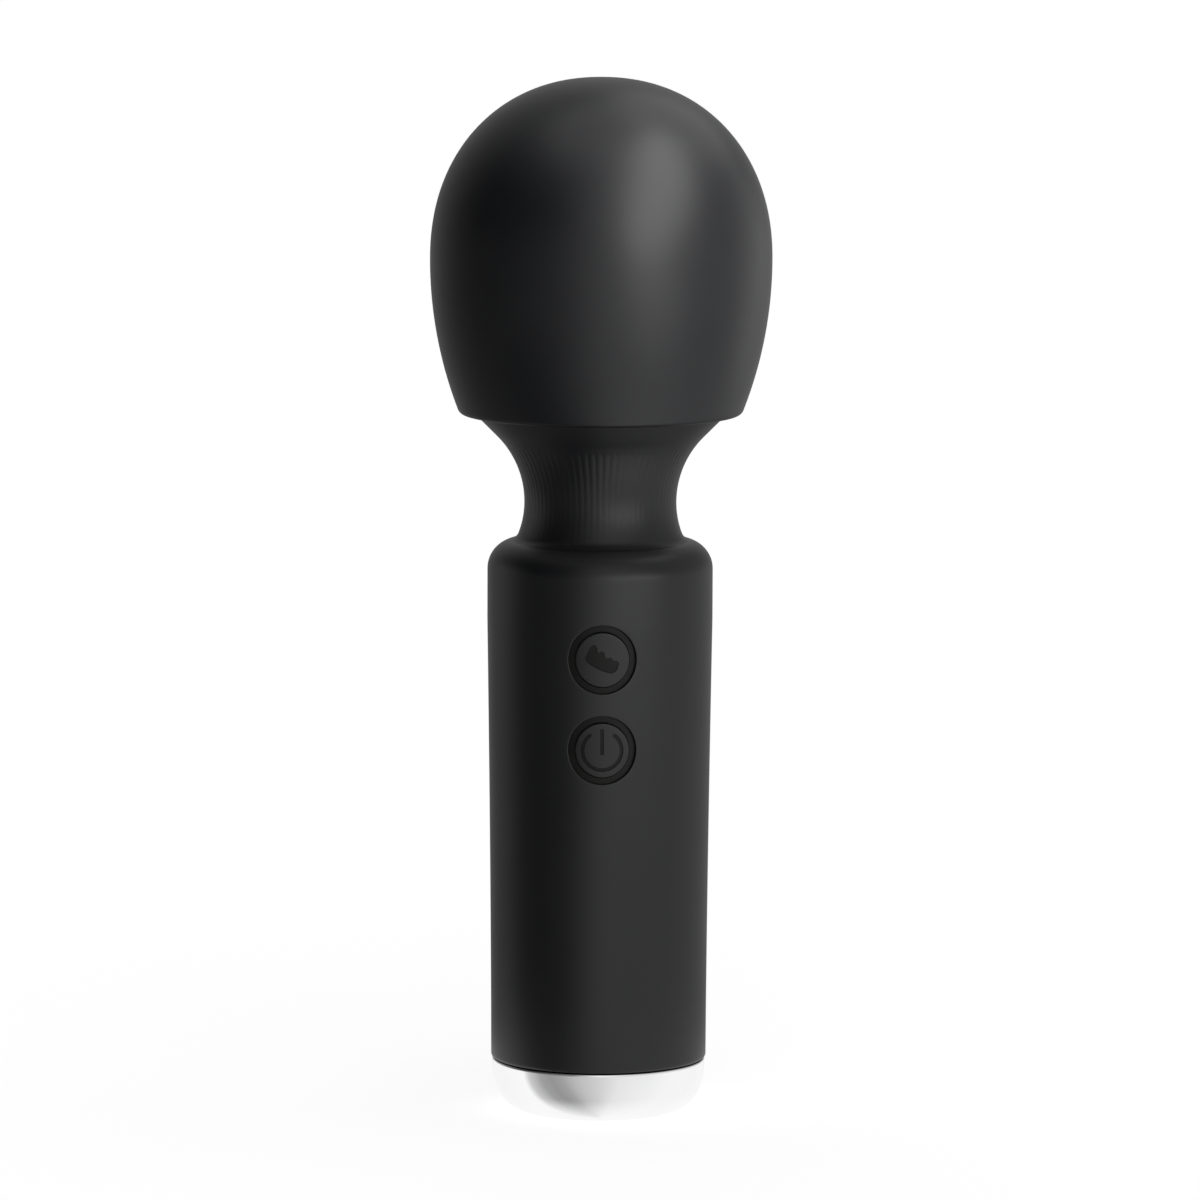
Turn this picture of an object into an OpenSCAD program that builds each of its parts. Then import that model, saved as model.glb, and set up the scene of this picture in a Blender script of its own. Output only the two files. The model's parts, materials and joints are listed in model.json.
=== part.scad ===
/* [Head] */
// Widest diameter of the head
head_d = 46; // [43:0.5:50]
// Height of the crown above the widest ring
dome_h = 24.4; // [23:0.2:28]
// Height of the widest ring above the lip
skirt_h = 20.9; // [19:0.1:24]
// Radius of the arc that draws the skirt in towards the lip
skirt_arc_r = 56.4; // [50:0.2:80]
// Fullness of the dome, where 2 is an ellipse
dome_power = 2.15; // [2:0.05:2.5]
// Wall of the silicone head cover
cover_t = 2.4; // [2:0.1:2.8]
// Rounding of the lip's outer edge
lip_round = 1; // [0.6:0.1:1.4]
// Wall of the capsule inside the head
capsule_t = 2; // [1.6:0.1:2.4]

/* [Neck] */
// Height from the shoulder of the handle to the lip of the head
neck_h = 17; // [16:0.1:19]
// Diameter at the waist
waist_d = 20.5; // [20:0.1:22]
// Height of the waist above the shoulder
waist_h = 5.1; // [4.5:0.1:6]
// Diameter where the neck meets the shoulder
neck_foot_d = 22.8; // [22.6:0.1:23.6]
// Diameter of the flare under the lip
neck_top_d = 33.8; // [32.5:0.1:34.5]
// Number of vertical flutes
flutes = 80; // [60:1:90]
// Depth of each flute
flute_depth = 0.2; // [0.15:0.05:0.35]
// Part of the pitch that each flute takes
flute_share = 0.45; // [0.35:0.05:0.55]
// Height of the plain collar between the flutes and the lip
collar_h = 4.4; // [3:0.1:6]
// Diameter of the rubber core
core_d = 16.4; // [15.6:0.1:17]
// Diameter of the lead hole in the core
core_bore_d = 6; // [5:0.1:7]
// Diameter of the flange at each end of the core
flange_d = 21; // [20:0.1:21.6]
// Thickness of each flange
flange_t = 2.2; // [1.8:0.1:2.6]
// Thickness of the shelf under or over each flange
shelf_t = 1.8; // [1.4:0.1:2]
// Diameter of the lead hole in the shelf under the motor
shelf_hole_d = 13; // [10:0.5:14]

/* [Handle] */
// Diameter of the grip below the shoulder
grip_d = 30.4; // [30:0.1:32]
// Diameter of the grip at its foot
grip_foot_d = 29.14; // [28.9:0.02:30]
// Length of the grip from the end cap to the shoulder
grip_h = 70.6; // [69.5:0.1:80]
// Length below the shoulder that keeps the full diameter
straight_h = 10.7; // [8:0.1:16]
// Radius of the shoulder
shoulder_round = 3.9; // [3:0.1:4.1]
// Rounding of the sleeve's lower edge
hem_round = 0.7; // [0.3:0.1:0.8]
// Wall of the silicone sleeve
sleeve_t = 1.2; // [1:0.1:1.4]
// Wall of the shell halves
shell_t = 1.6; // [1.4:0.1:1.8]
// Thickness of the ribs that cradle the cell and the jack
rib_t = 1.2; // [0.8:0.1:1.4]

/* [End cap] */
// Height of the end cap
cap_h = 7.1; // [6:0.1:9]
// Diameter of the end cap at the seam
cap_d = 28.8; // [28.4:0.1:29]
// Diameter of the flat that the massager stands on
foot_d = 19; // [17:0.5:21]
// Fullness of the rounded edge, where 2 is an ellipse
cap_power = 2.4; // [2:0.1:3]
// Wall of the end cap
cap_t = 1.8; // [1.4:0.1:2.2]
// Height of the spigot inside the handle
spigot_h = 3.9; // [3.6:0.1:4]
// Thickness of the seal round the spigot
seal_d = 1.2; // [1:0.1:1.3]
// Height of the snap bead on the spigot
bead = 0.35; // [0.2:0.05:0.45]

/* [Keys] */
// Diameter of each key
key_d = 7.4; // [6.8:0.1:7.6]
// Outer diameter of the groove round each key
ring_d = 9.2; // [8.8:0.1:9.6]
// Depth of that groove
ring_depth = 0.45; // [0.3:0.05:0.55]
// Travel of a key
key_travel = 0.4; // [0.2:0.05:0.4]
// Drop from the shoulder to the centre of the mode key
mode_drop = 14.45; // [13.5:0.05:15]
// Distance between the two keys
key_pitch = 12.2; // [11.6:0.1:13]
// Diameter of the plunger behind each key
plunger_d = 4.4; // [4:0.1:4.8]
// Diameter of the stop flange on the plunger
stop_d = 6; // [5.6:0.1:6.4]
// Thickness of the stop flange
stop_t = 0.6; // [0.5:0.1:0.7]
// Diameter of a switch stem
stem_d = 2; // [1.6:0.1:2.4]
// Depth of a switch's floor above the board
switch_floor = 0.3; // [0.2:0.05:0.4]

/* [Board and cell] */
// Width of the circuit board
board_w = 15; // [14:0.1:15.4]
// Length of the circuit board
board_l = 40; // [37:0.5:41]
// Thickness of the circuit board
board_t = 1; // [0.8:0.1:1.2]
// Width of a switch
switch_w = 5.2; // [4.8:0.1:5.6]
// Height of a switch above the board
switch_h = 1.5; // [1.3:0.1:1.7]
// Diameter of the cell
cell_d = 14; // [13.6:0.1:14.2]
// Room for leads between the jack and the cell
jack_room = 5.4; // [4.6:0.1:6.5]
// Room for leads above the cell
lead_room = 4.5; // [3.8:0.1:5]
// Thickness of the foam pads behind the cell
pad_t = 1.25; // [1:0.05:1.4]
// Length of each foam pad
pad_l = 9; // [7:0.5:10]
// Width of each foam pad
pad_w = 8; // [6:0.5:9]
// Width of the tab at each end of the cell
tab_w = 4; // [3:0.1:4.6]
// Length of that tab
tab_l = 7; // [6:0.1:7.4]
// Thickness of that tab
tab_t = 0.3; // [0.2:0.05:0.3]
// Shank diameter of the small screws
screw_d = 1.6; // [1.4:0.1:1.8]
// Head diameter of the small screws
screw_head_d = 3; // [2.8:0.1:3.2]
// Height of a screw's head
screw_head_h = 1.2; // [1:0.1:1.3]
// Depth of the recess in a screw's head
screw_slot = 0.5; // [0.3:0.1:0.6]
// Reach of a shell screw in front of the split
shell_screw_l = 5; // [4.4:0.1:5.2]
// Reach of a capsule screw in front of the split
capsule_screw_l = 4.6; // [4:0.1:5]
// Depth of a capsule screw's seat behind the split
capsule_seat_y = 4; // [3:0.1:5]
// Reach of a board screw in front of the board
board_screw_l = 2.8; // [2.4:0.1:2.9]
// Diameter of a lead with its sheath
lead_d = 1; // [0.8:0.05:1.1]

/* [Charging jack] */
// Diameter of the jack's hole
jack_bore_d = 2.6; // [2.4:0.1:3]
// Depth of the jack's hole
jack_depth = 9.5; // [8.5:0.1:10]
// Height of the hole above the end cap's seam
jack_rise = 7.6; // [7.5:0.1:8]
// Width and height of the jack's body
jack_w = 5.6; // [5.4:0.1:5.8]
// Diameter of the jack's nose
jack_nose_d = 5.2; // [4.8:0.1:5.6]

/* [Motor] */
// Diameter of the motor
motor_d = 24.4; // [23.6:0.1:24.8]
// Length of the motor
motor_l = 20; // [19:0.1:20.6]
// Wall of the motor can
can_t = 0.9; // [0.8:0.05:1]
// Thickness of the plastic end cap of the motor
motor_cap_t = 2; // [1.8:0.1:2.4]
// Thickness of the rubber damper round the motor
damper_t = 1.2; // [1:0.1:1.4]
// Diameter of the shaft
shaft_d = 2; // [1.8:0.1:2.4]
// Radial clearance between the shaft and its bushes
shaft_fit = 0.03; // [0.02:0.01:0.06]
// Outer diameter of the bushes
bush_d = 5; // [4.6:0.1:5.4]
// Diameter of the armature
armature_d = 17.4; // [16.8:0.1:17.6]
// Height of the armature's laminations
armature_h = 9; // [8:0.1:9.4]
// Radius of the eccentric weight
weight_r = 10; // [8:0.1:10.4]
// Height of the eccentric weight
weight_h = 7; // [5:0.1:7.4]
// Height of the boss round the upper bush
boss_h = 1.2; // [1:0.1:1.4]
// Height of the damper
damper_h = 11; // [9:0.5:12]
// Diameter of the commutator
commutator_d = 4.8; // [4.4:0.1:5]

/* [Fits] */
// Clearance between pieces that are fixed together
fit = 0.1; // [0.05:0.01:0.12]
// Clearance between pieces that move past each other
run_gap = 0.2; // [0.12:0.01:0.24]

/* [Hidden] */
$fn = 72;
eps = 0.01;
far = 60;

// Levels, counted up from the flat that the massager stands on
sleeve_z = cap_h + fit;
crease_z = sleeve_z + grip_h;
lip_z = crease_z + neck_h;
widest_z = lip_z + skirt_h;
waist_z = crease_z + waist_h;
mode_z = crease_z - mode_drop;
power_z = mode_z - key_pitch;
jack_z = sleeve_z + jack_rise;

// Radii and insets that pieces share
head_r = head_d / 2;
grip_r = grip_d / 2;
grip_foot_r = grip_foot_d / 2;
core_r = core_d / 2;
key_r = key_d / 2;
key_gap = run_gap * 0.6;
shell_in = sleeve_t + fit;
key_t = shell_in - key_travel - key_gap;
cavity_in = shell_in + shell_t;
cavity_foot_r = grip_foot_r - cavity_in;
capsule_in = cover_t + fit;
room_in = capsule_in + capsule_t;
lead_r = lead_d / 2;

// The rubber core and what traps it
lower_flange_z = crease_z - cavity_in - run_gap - flange_t;
lower_shelf_z = lower_flange_z - run_gap - shelf_t;
capsule_z = lip_z + run_gap;
upper_flange_z = capsule_z + capsule_t + run_gap;
upper_shelf_z = upper_flange_z + flange_t + run_gap;

// The motor, from its seat upwards
motor_z = upper_shelf_z + shelf_t + fit;
can_z = motor_z + motor_cap_t;
motor_top_z = motor_z + motor_l;
motor_r = motor_d / 2;
shaft_r = shaft_d / 2;
weight_z = motor_top_z + boss_h + 1;
armature_z = can_z + 5;
magnet_t = motor_r - can_t - armature_d / 2 - 0.5;
commutator_r = commutator_d / 2;
damper_z = motor_z + (motor_l - damper_h) / 2;

capsule_screw_zs = [motor_z + 3, weight_z + 1.5];
capsule_screw_x = motor_r + damper_t + fit + screw_d / 2 + 1.3;

// The cell and the board behind the keys
cell_r = cell_d / 2;
cell_y = cavity_foot_r - pad_t - cell_r;
cell_top_z = lower_shelf_z - lead_room;
cell_z = jack_z + jack_w / 2 + jack_room;
cell_l = cell_top_z - cell_z;
board_top_z = lower_shelf_z - 0.8;
board_z = board_top_z - board_l;
board_y = -sqrt(pow(cavity_foot_r, 2) - pow(board_w / 2, 2)) + 0.9;
board_back_y = board_y + board_t;
board_screw_zs = [mode_z - key_pitch / 2, power_z - 15.5];
shell_screw_zs = [sleeve_z + 14.5, power_z + 1.2];
shell_screw_x = cavity_foot_r - 2.1;
shell_screw_edge = shell_screw_x + screw_head_d / 2;
shell_screw_y = sqrt(pow(cavity_foot_r + shell_t - 0.3, 2) - pow(shell_screw_edge, 2)) - screw_head_h;

// The jack's nose, back end and shoulder along Y
jack_face_y = sqrt(pow(grip_at(jack_z) - shell_in, 2) - pow(jack_nose_d / 2, 2));
jack_back_y = jack_face_y - jack_depth;
jack_shoulder_y = sqrt(pow(cavity_foot_r, 2) - pow(jack_nose_d / 2 + 1, 2)) - 1;

// The flare of the neck: an arc from the waist that ends in a 45 degree cone
flare_h = lip_z - waist_z;
flare_w = (neck_top_d - waist_d) / 2;
flare_arc_r = (flare_h - flare_w) / (sqrt(2) - 1);
foot_w = (neck_foot_d - waist_d) / 2;
foot_arc_r = (waist_h * waist_h + foot_w * foot_w) / (2 * foot_w);

// ---------- outlines, as radius and height ----------

function arc(centre, r, from, to, steps) =
    [for (i = [0:steps]) let (a = from + (to - from) * i / steps) centre + r * [cos(a), sin(a)]];

// A superellipse's quarter: x runs from a to 0 while y runs from 0 to b
function quarter(a, b, power, steps) =
    [for (i = [0:steps]) let (t = 90 * i / steps)
        [a * pow(cos(t), 2 / power), b * pow(sin(t), 2 / power)]];

// Outline of the head, drawn in by an inset, from a level at or above the lip
function head_outline(inset, low, edge) =
    let (r = skirt_arc_r - inset)
    let (axis_r = head_r - skirt_arc_r)
    let (edge_r = axis_r + sqrt(pow(r - edge, 2) - pow(widest_z - low - edge, 2)))
    let (start = -asin((widest_z - low - edge) / (r - edge)))
    concat(
        [[0, low]],
        arc([edge_r, low + edge], edge, -90, start, 6),
        [for (p = arc([axis_r, widest_z], r, start, 0, 8)) if (p[1] > low + edge) p],
        [for (p = quarter(head_r - inset, dome_h - inset, dome_power, 24))
            if (p[1] > 0) [p[0], widest_z + p[1]]]
    );

module head_solid(inset, low, edge) {
    rotate_extrude()
        polygon(head_outline(inset, low, edge));
}

// Radius of the grip at a height: straight below the shoulder, then a slow taper to the foot
function grip_at(z) =
    let (rise = min(1, max(0, (z - sleeve_z) / (grip_h - straight_h))))
    grip_foot_r + (grip_r - grip_foot_r) * pow(rise, 1.5);

function grip_outline(inset, low, edge) =
    let (taper_top = crease_z - straight_h)
    concat(
        [[0, low]],
        arc([grip_at(low + edge) - inset - edge, low + edge], edge, -90, 0, 5),
        [for (i = [1:8]) let (z = low + edge + (taper_top - low - edge) * i / 8) [grip_at(z) - inset, z]],
        arc([grip_r - shoulder_round, crease_z - shoulder_round], shoulder_round - inset, 0, 90, 10),
        [[0, crease_z - inset]]
    );

module grip_solid(inset, low, edge) {
    rotate_extrude()
        polygon(grip_outline(inset, low, edge));
}

// ---------- small helpers ----------

// A round bar along Y from y0 to y1
module bar_y(r, y0, y1, x, z) {
    translate([x, y1, z])
        rotate([90, 0, 0])
            cylinder(r = r, h = y1 - y0);
}

// A block given by its two corners
module block(low, high) {
    translate(low)
        cube(high - low);
}

// Everything in front of the split plane, or behind it
module half(front) {
    translate([-far, front ? -2 * far : 0, -far])
        cube([2 * far, 2 * far, 5 * far]);
}

// The cross recess in a screw's head, cut back from a level along Y
module screw_cross(x, y, z) {
    arm = screw_head_d / 3;
    slot = screw_head_d / 15;
    block([x - arm, y, z - slot], [x + arm, y + 2, z + slot]);
    block([x - slot, y, z - arm], [x + slot, y + 2, z + arm]);
}

module ring(outer, inner, z, h) {
    translate([0, 0, z])
        difference() {
            cylinder(r = outer, h = h);
            translate([0, 0, -1])
                cylinder(r = inner, h = h + 2);
        }
}

// A straight run of wire between two points
module wire_run(from, to, r) {
    d = to - from;
    translate(from)
        rotate([0, acos(d[2] / norm(d)), atan2(d[1], d[0])])
            cylinder(r = r, h = norm(d), $fn = 24);
}

// A wire through a list of points, rounded at each bend
module wire(points, r) {
    for (i = [1:len(points) - 1])
        wire_run(points[i - 1], points[i], r);
    for (i = [1:len(points) - 2])
        translate(points[i])
            sphere(r = r + 0.02, $fn = 24);
}

// ---------- handle ----------

// The groove round a key: it follows the grip's curve at one depth
module key_groove(z) {
    difference() {
        bar_y(ring_d / 2, -far, 0, 0, z);
        grip_solid(ring_depth, sleeve_z - 1, hem_round);
    }
}

module handle_sleeve() {
    color([0.06, 0.06, 0.065])
        difference() {
            grip_solid(0, sleeve_z, hem_round);
            grip_solid(sleeve_t, sleeve_z - 2, 0.2);
            cylinder(r = core_r + run_gap, h = crease_z + 1);
            for (z = [mode_z, power_z]) {
                key_groove(z);
                bar_y(key_r + key_gap, -far, 0, 0, z);
            }
            bar_y(jack_bore_d / 2 + 0.4, 0, far, 0, jack_z);
        }
}

// What both shell halves share, still as one closed moulding
module shell_blank() {
    difference() {
        grip_solid(shell_in, sleeve_z, 0.3);
        difference() {
            grip_solid(cavity_in, sleeve_z - 2, 0.2);
            translate([0, 0, lower_shelf_z])
                cylinder(r = grip_r, h = shelf_t);
        }
        cylinder(r = core_r + run_gap, h = crease_z + 1);
        translate([0, 0, sleeve_z + spigot_h - 1.3])
            cylinder(r = cavity_foot_r + bead + fit, h = 1);
    }
}

module shell_boss(x, z, y0, y1, r) {
    intersection() {
        bar_y(r, y0, y1, x, z);
        grip_solid(shell_in + 0.3, sleeve_z, 0.3);
    }
}

module front_shell() {
    color([0.16, 0.16, 0.17])
        difference() {
            union() {
                intersection() {
                    shell_blank();
                    half(true);
                }
                for (z = board_screw_zs)
                    shell_boss(0, z, -far, board_y - fit, 1.8);
                for (x = [-1, 1] * shell_screw_x, z = shell_screw_zs)
                    shell_boss(x, z, -7, -fit, 1.9);
            }
            for (z = board_screw_zs)
                bar_y(screw_d / 2 + fit / 2, board_y - board_screw_l - 2 * fit, 0, 0, z);
            for (x = [-1, 1] * shell_screw_x, z = shell_screw_zs)
                bar_y(screw_d / 2 + fit / 2, -shell_screw_l - 4 * fit, 1, x, z);
            for (z = [mode_z, power_z])
                bar_y(plunger_d / 2 + key_gap, -far, board_y - switch_h, 0, z);
        }
}

module rear_shell() {
    seat_w = jack_w / 2 + fit;
    color([0.16, 0.16, 0.17])
        difference() {
            union() {
                intersection() {
                    shell_blank();
                    half(false);
                }
                for (x = [-1, 1] * shell_screw_x, z = shell_screw_zs)
                    shell_boss(x, z, fit, 20, 2.3);
                intersection() {
                    grip_solid(shell_in + 0.3, sleeve_z, 0.3);
                    for (z = [cell_z + 4, cell_z + cell_l / 2, cell_top_z - 4 - rib_t])
                        difference() {
                            block([-far, cell_y, z], [far, far, z + rib_t]);
                            bar_z(cell_r + fit, cell_y);
                        }
                }
                intersection() {
                    grip_solid(shell_in + 0.3, sleeve_z, 0.3);
                    for (side = [0, 1])
                        mirror([side, 0, 0])
                            block(
                                [seat_w, 4, jack_z - jack_w / 2],
                                [seat_w + rib_t, far, jack_z + jack_w / 2]
                            );
                }
            }
            for (x = [-1, 1] * shell_screw_x, z = shell_screw_zs) {
                bar_y(screw_d / 2 + fit, -1, far, x, z);
                bar_y(screw_head_d / 2 + fit, shell_screw_y, far, x, z);
            }
            bar_y(jack_nose_d / 2 + fit, 6, far, 0, jack_z);
            bar_y(jack_nose_d / 2 + 1 + fit, 6, jack_shoulder_y + 0.8 + fit, 0, jack_z);
        }
}

// A cylinder along Z as long as the handle, at a place on the Y axis
module bar_z(r, y) {
    translate([0, y, 0])
        cylinder(r = r, h = crease_z);
}

module shell_screws() {
    color([0.62, 0.62, 0.64])
        for (x = [-1, 1] * shell_screw_x, z = shell_screw_zs)
            difference() {
                union() {
                    bar_y(screw_d / 2, -shell_screw_l, shell_screw_y + screw_head_h / 2, x, z);
                    bar_y(screw_head_d / 2, shell_screw_y + eps, shell_screw_y + screw_head_h, x, z);
                }
                screw_cross(x, shell_screw_y + screw_head_h - screw_slot, z);
            }
}

// Outline of the end cap, drawn in by an inset
function cap_outline(inset) =
    let (a = cap_d / 2 - foot_d / 2)
    concat(
        [[0, inset]],
        [for (i = [24:-1:0]) let (p = quarter(a - inset, cap_h - inset, cap_power, 24)[i])
            [foot_d / 2 + p[0], cap_h - p[1]]],
        [[0, cap_h]]
    );

module end_cap() {
    spigot_r = cavity_foot_r - fit;
    color([0.82, 0.82, 0.84])
        difference() {
            union() {
                rotate_extrude()
                    polygon(cap_outline(0));
                translate([0, 0, cap_h - 1])
                    cylinder(r = spigot_r, h = spigot_h + 1);
                translate([0, 0, sleeve_z + spigot_h - 1.1])
                    cylinder(r = spigot_r + bead, h = 0.6);
            }
            intersection() {
                rotate_extrude()
                    polygon(cap_outline(cap_t));
                cylinder(r = far, h = cap_h - 1.5);
            }
            translate([0, 0, cap_h - 2])
                cylinder(r = spigot_r - cap_t, h = spigot_h + 5);
            ring(far, cavity_foot_r - seal_d - 0.05, cap_h + 0.5, seal_d + fit);
        }
}

module cap_seal() {
    seal_r = seal_d / 2;
    color([0.1, 0.1, 0.1])
        rotate_extrude()
            translate([cavity_foot_r - seal_r - 0.025, cap_h + 0.5 + seal_r + fit / 2])
                circle(r = seal_r);
}

// ---------- board, switches and cell ----------

module circuit_board() {
    color([0.08, 0.3, 0.16])
        difference() {
            block([-board_w / 2, board_y, board_z], [board_w / 2, board_back_y, board_top_z]);
            for (z = board_screw_zs)
                bar_y(screw_d / 2 + fit, board_y - 1, board_back_y + 1, 0, z);
            for (side = [0, 1], z = [board_z, board_top_z])
                mirror([side, 0, 0])
                    translate([board_w / 2, board_y, z])
                        rotate([0, 45, 0])
                            cube([2, 3 * board_t, 2], center = true);
        }
}

module board_screws() {
    color([0.62, 0.62, 0.64])
        for (z = board_screw_zs)
            difference() {
                union() {
                    bar_y(screw_d / 2, board_y - board_screw_l, board_back_y + screw_head_h / 2, 0, z);
                    bar_y(screw_head_d / 2, board_back_y, board_back_y + screw_head_h, 0, z);
                }
                screw_cross(0, board_back_y + screw_head_h - screw_slot, z);
            }
}

// A switch: a square can on the board's front with a hole for its stem
module switch_can(z) {
    w = switch_w / 2;
    color([0.12, 0.12, 0.12])
        difference() {
            union() {
                block([-w, board_y - switch_h, z - w], [w, board_y, z + w]);
                for (x = [-1, 1], side = [-1, 1])
                    translate([x * w, board_y - 0.1, z + side * w / 2])
                        cube([1, 0.2, 0.7], center = true);
            }
            bar_y(stem_d / 2 + key_gap, board_y - switch_h - 1, board_y - switch_floor, 0, z);
        }
}

module mode_switch() {
    switch_can(mode_z);
}

module power_switch() {
    switch_can(power_z);
}

// Charge controller, coil, two capacitors and a row of chip resistors on the board's back
module board_components() {
    low_z = board_screw_zs[1] + 3;
    color([0.13, 0.13, 0.14]) {
        block([-2.5, board_back_y, low_z], [2.5, board_back_y + 1.2, low_z + 5]);
        bar_y(2, board_back_y, board_back_y + 1.4, -4.6, low_z + 8.5);
        for (x = [3, 5.2])
            block([x, board_back_y, low_z + 7], [x + 1.4, board_back_y + 1.1, low_z + 9.6]);
        for (x = [-6.4:1.6:-1.6])
            block([x, board_back_y, low_z + 13], [x + 1, board_back_y + 0.4, low_z + 15]);
    }
}

module charge_light() {
    light_z = power_z - 6.6;
    color([0.92, 0.95, 0.9])
        difference() {
            block([-1, board_y - 0.8, light_z - 0.6], [1, board_y, light_z + 0.6]);
            bar_y(0.4, board_y - 1, board_y - 0.6, 0, light_z);
        }
}

module cell() {
    color([0.1, 0.33, 0.62])
        translate([0, cell_y, cell_z])
            rotate_extrude()
                polygon(concat(
                    [[0, 0], [cell_r - 0.6, 0]],
                    arc([cell_r - 0.6, 0.6], 0.6, -90, 0, 5),
                    arc([cell_r - 0.6, cell_l - 1.6], 0.6, 0, 90, 5),
                    [[cell_r - 2.2, cell_l - 1], [2.8, cell_l - 1], [2.8, cell_l], [0, cell_l]]
                ));
}

module cell_tabs() {
    color([0.75, 0.75, 0.72]) {
        for (z = [cell_z - tab_t, cell_top_z])
            block([-tab_w / 2, cell_y + 2 - tab_l, z], [tab_w / 2, cell_y + 2, z + tab_t]);
    }
}

// Foam between the cell and the rear shell, between the cradle ribs
module cell_pad() {
    pad_z = cell_z + cell_l / 2 + rib_t / 2;
    pad_gap = rib_t / 2 + 1;
    color([0.3, 0.3, 0.32])
        for (z = [pad_z - pad_l - pad_gap, pad_z + pad_gap])
            intersection() {
                block([-pad_w / 2, cell_y, z], [pad_w / 2, far, z + pad_l]);
                difference() {
                    grip_solid(cavity_in + fit, sleeve_z, 0.2);
                    bar_z(cell_r + fit, cell_y);
                }
            }
}

// ---------- charging jack and leads ----------

module charge_jack() {
    w = jack_w / 2;
    color([0.1, 0.1, 0.11])
        difference() {
            union() {
                block([-w, jack_back_y - 1, jack_z - w], [w, jack_shoulder_y, jack_z + w]);
                bar_y(jack_nose_d / 2, jack_shoulder_y - 1, jack_face_y, 0, jack_z);
            }
            bar_y(jack_bore_d / 2, jack_back_y, jack_face_y + 1, 0, jack_z);
        }
}

module jack_contacts() {
    tab_y = jack_back_y - 1;
    color([0.8, 0.68, 0.35])
        for (x = [-1.6, 1.6])
            block([x - 0.6, tab_y - 1.6, jack_z - 0.2], [x + 0.6, tab_y, jack_z + 0.2]);
}

module jack_seal() {
    color([0.35, 0.1, 0.08])
        difference() {
            bar_y(jack_nose_d / 2 + 1, jack_shoulder_y, jack_shoulder_y + 0.8, 0, jack_z);
            bar_y(jack_nose_d / 2 + 0.03, jack_shoulder_y - 1, jack_shoulder_y + 2, 0, jack_z);
        }
}

module jack_leads() {
    tab_y = jack_back_y - 2.6;
    color([0.7, 0.08, 0.06])
        for (x = [-1.6, 1.6])
            wire([
                [x, tab_y + 0.5, jack_z + 0.75],
                [x, tab_y - 1.5, jack_z + 2],
                [1.1 * x - 3.6, board_back_y + 1.2, cell_z - 1],
                [1.1 * x - 3.6, board_back_y + 0.55, board_z + 1.5]
            ], lead_r);
}

module cell_leads() {
    lead_y = board_back_y + 0.55;
    color([0.7, 0.08, 0.06]) {
        wire([
            [0, cell_y - 4, cell_top_z + 0.85],
            [3, lead_y + 1, cell_top_z + 1.4],
            [3, lead_y, cell_top_z - 3]
        ], lead_r);
        wire([
            [0, cell_y - 4, cell_z - 0.85],
            [5, lead_y + 1.5, cell_z - 0.6],
            [5, lead_y, board_z + 2]
        ], lead_r);
    }
}

// ---------- neck ----------

// Half section of the neck's outside, drawn in by an inset: two arcs that meet at the waist, then a cone
module neck_section(inset) {
    waist_r = waist_d / 2 - inset;
    flare_edge = waist_z + flare_arc_r * sin(45);
    difference() {
        translate([0, crease_z + fit])
            square([neck_top_d / 2 - inset, neck_h - 2 * fit]);
        translate([waist_r + foot_arc_r, waist_z])
            intersection() {
                circle(r = foot_arc_r, $fn = 180);
                translate([-far, -far])
                    square([2 * far, far]);
            }
        translate([waist_r + flare_arc_r, waist_z])
            intersection() {
                circle(r = flare_arc_r, $fn = 180);
                translate([-far, -eps])
                    square([2 * far, far]);
            }
        polygon([
            [waist_r + flare_arc_r * (1 - cos(45)), flare_edge],
            [waist_r + flare_w, lip_z],
            [waist_r + flare_w + far, lip_z],
            [waist_r + flare_w + far, crease_z - 1],
            [waist_r + foot_w, crease_z - 1],
            [waist_r + foot_arc_r, waist_z - 1],
            [waist_r + flare_arc_r, waist_z + 1]
        ]);
    }
}

module neck_sleeve() {
    flute_angle = 360 / flutes * flute_share;
    color([0.06, 0.06, 0.065])
        difference() {
            rotate_extrude()
                neck_section(0);
            translate([0, 0, crease_z - 1])
                cylinder(r = core_r + fit, h = neck_h + 2);
            for (i = [0:flutes - 1])
                rotate([0, 0, 360 / flutes * i - flute_angle / 2])
                    rotate_extrude(angle = flute_angle)
                        difference() {
                            translate([core_r, crease_z - 1])
                                square([neck_top_d / 2, neck_h + 1 - collar_h]);
                            neck_section(flute_depth);
                            translate([0, crease_z - 2])
                                square([waist_d / 2 - flute_depth, 2 + 2 * fit]);
                        }
        }
}

module neck_core() {
    flange_r = flange_d / 2;
    top_z = upper_flange_z + flange_t;
    color([0.2, 0.2, 0.2])
        difference() {
            union() {
                translate([0, 0, lower_flange_z])
                    cylinder(r = core_r, h = top_z - lower_flange_z);
                for (z = [lower_flange_z, upper_flange_z])
                    translate([0, 0, z])
                        cylinder(r = flange_r, h = flange_t);
            }
            translate([0, 0, lower_flange_z - 1])
                cylinder(d = core_bore_d, h = top_z - lower_flange_z + 2);
        }
}

module motor_leads() {
    low_z = lower_shelf_z - 2.4;
    color([0.75, 0.1, 0.08])
        for (x = [-1, 1])
            wire([
                [x * 1.2, board_back_y + 0.65, low_z],
                [x * 1.2, 0.3, lower_flange_z - 0.9],
                [x * 1.4, 0.1, upper_flange_z + flange_t + 0.3],
                [x * 3.3, 0, motor_z - 1]
            ], lead_r);
}

// ---------- head ----------

module head_cover() {
    color([0.06, 0.06, 0.065])
        difference() {
            head_solid(0, lip_z, lip_round);
            head_solid(cover_t, lip_z - 2, 0.2);
        }
}

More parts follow.
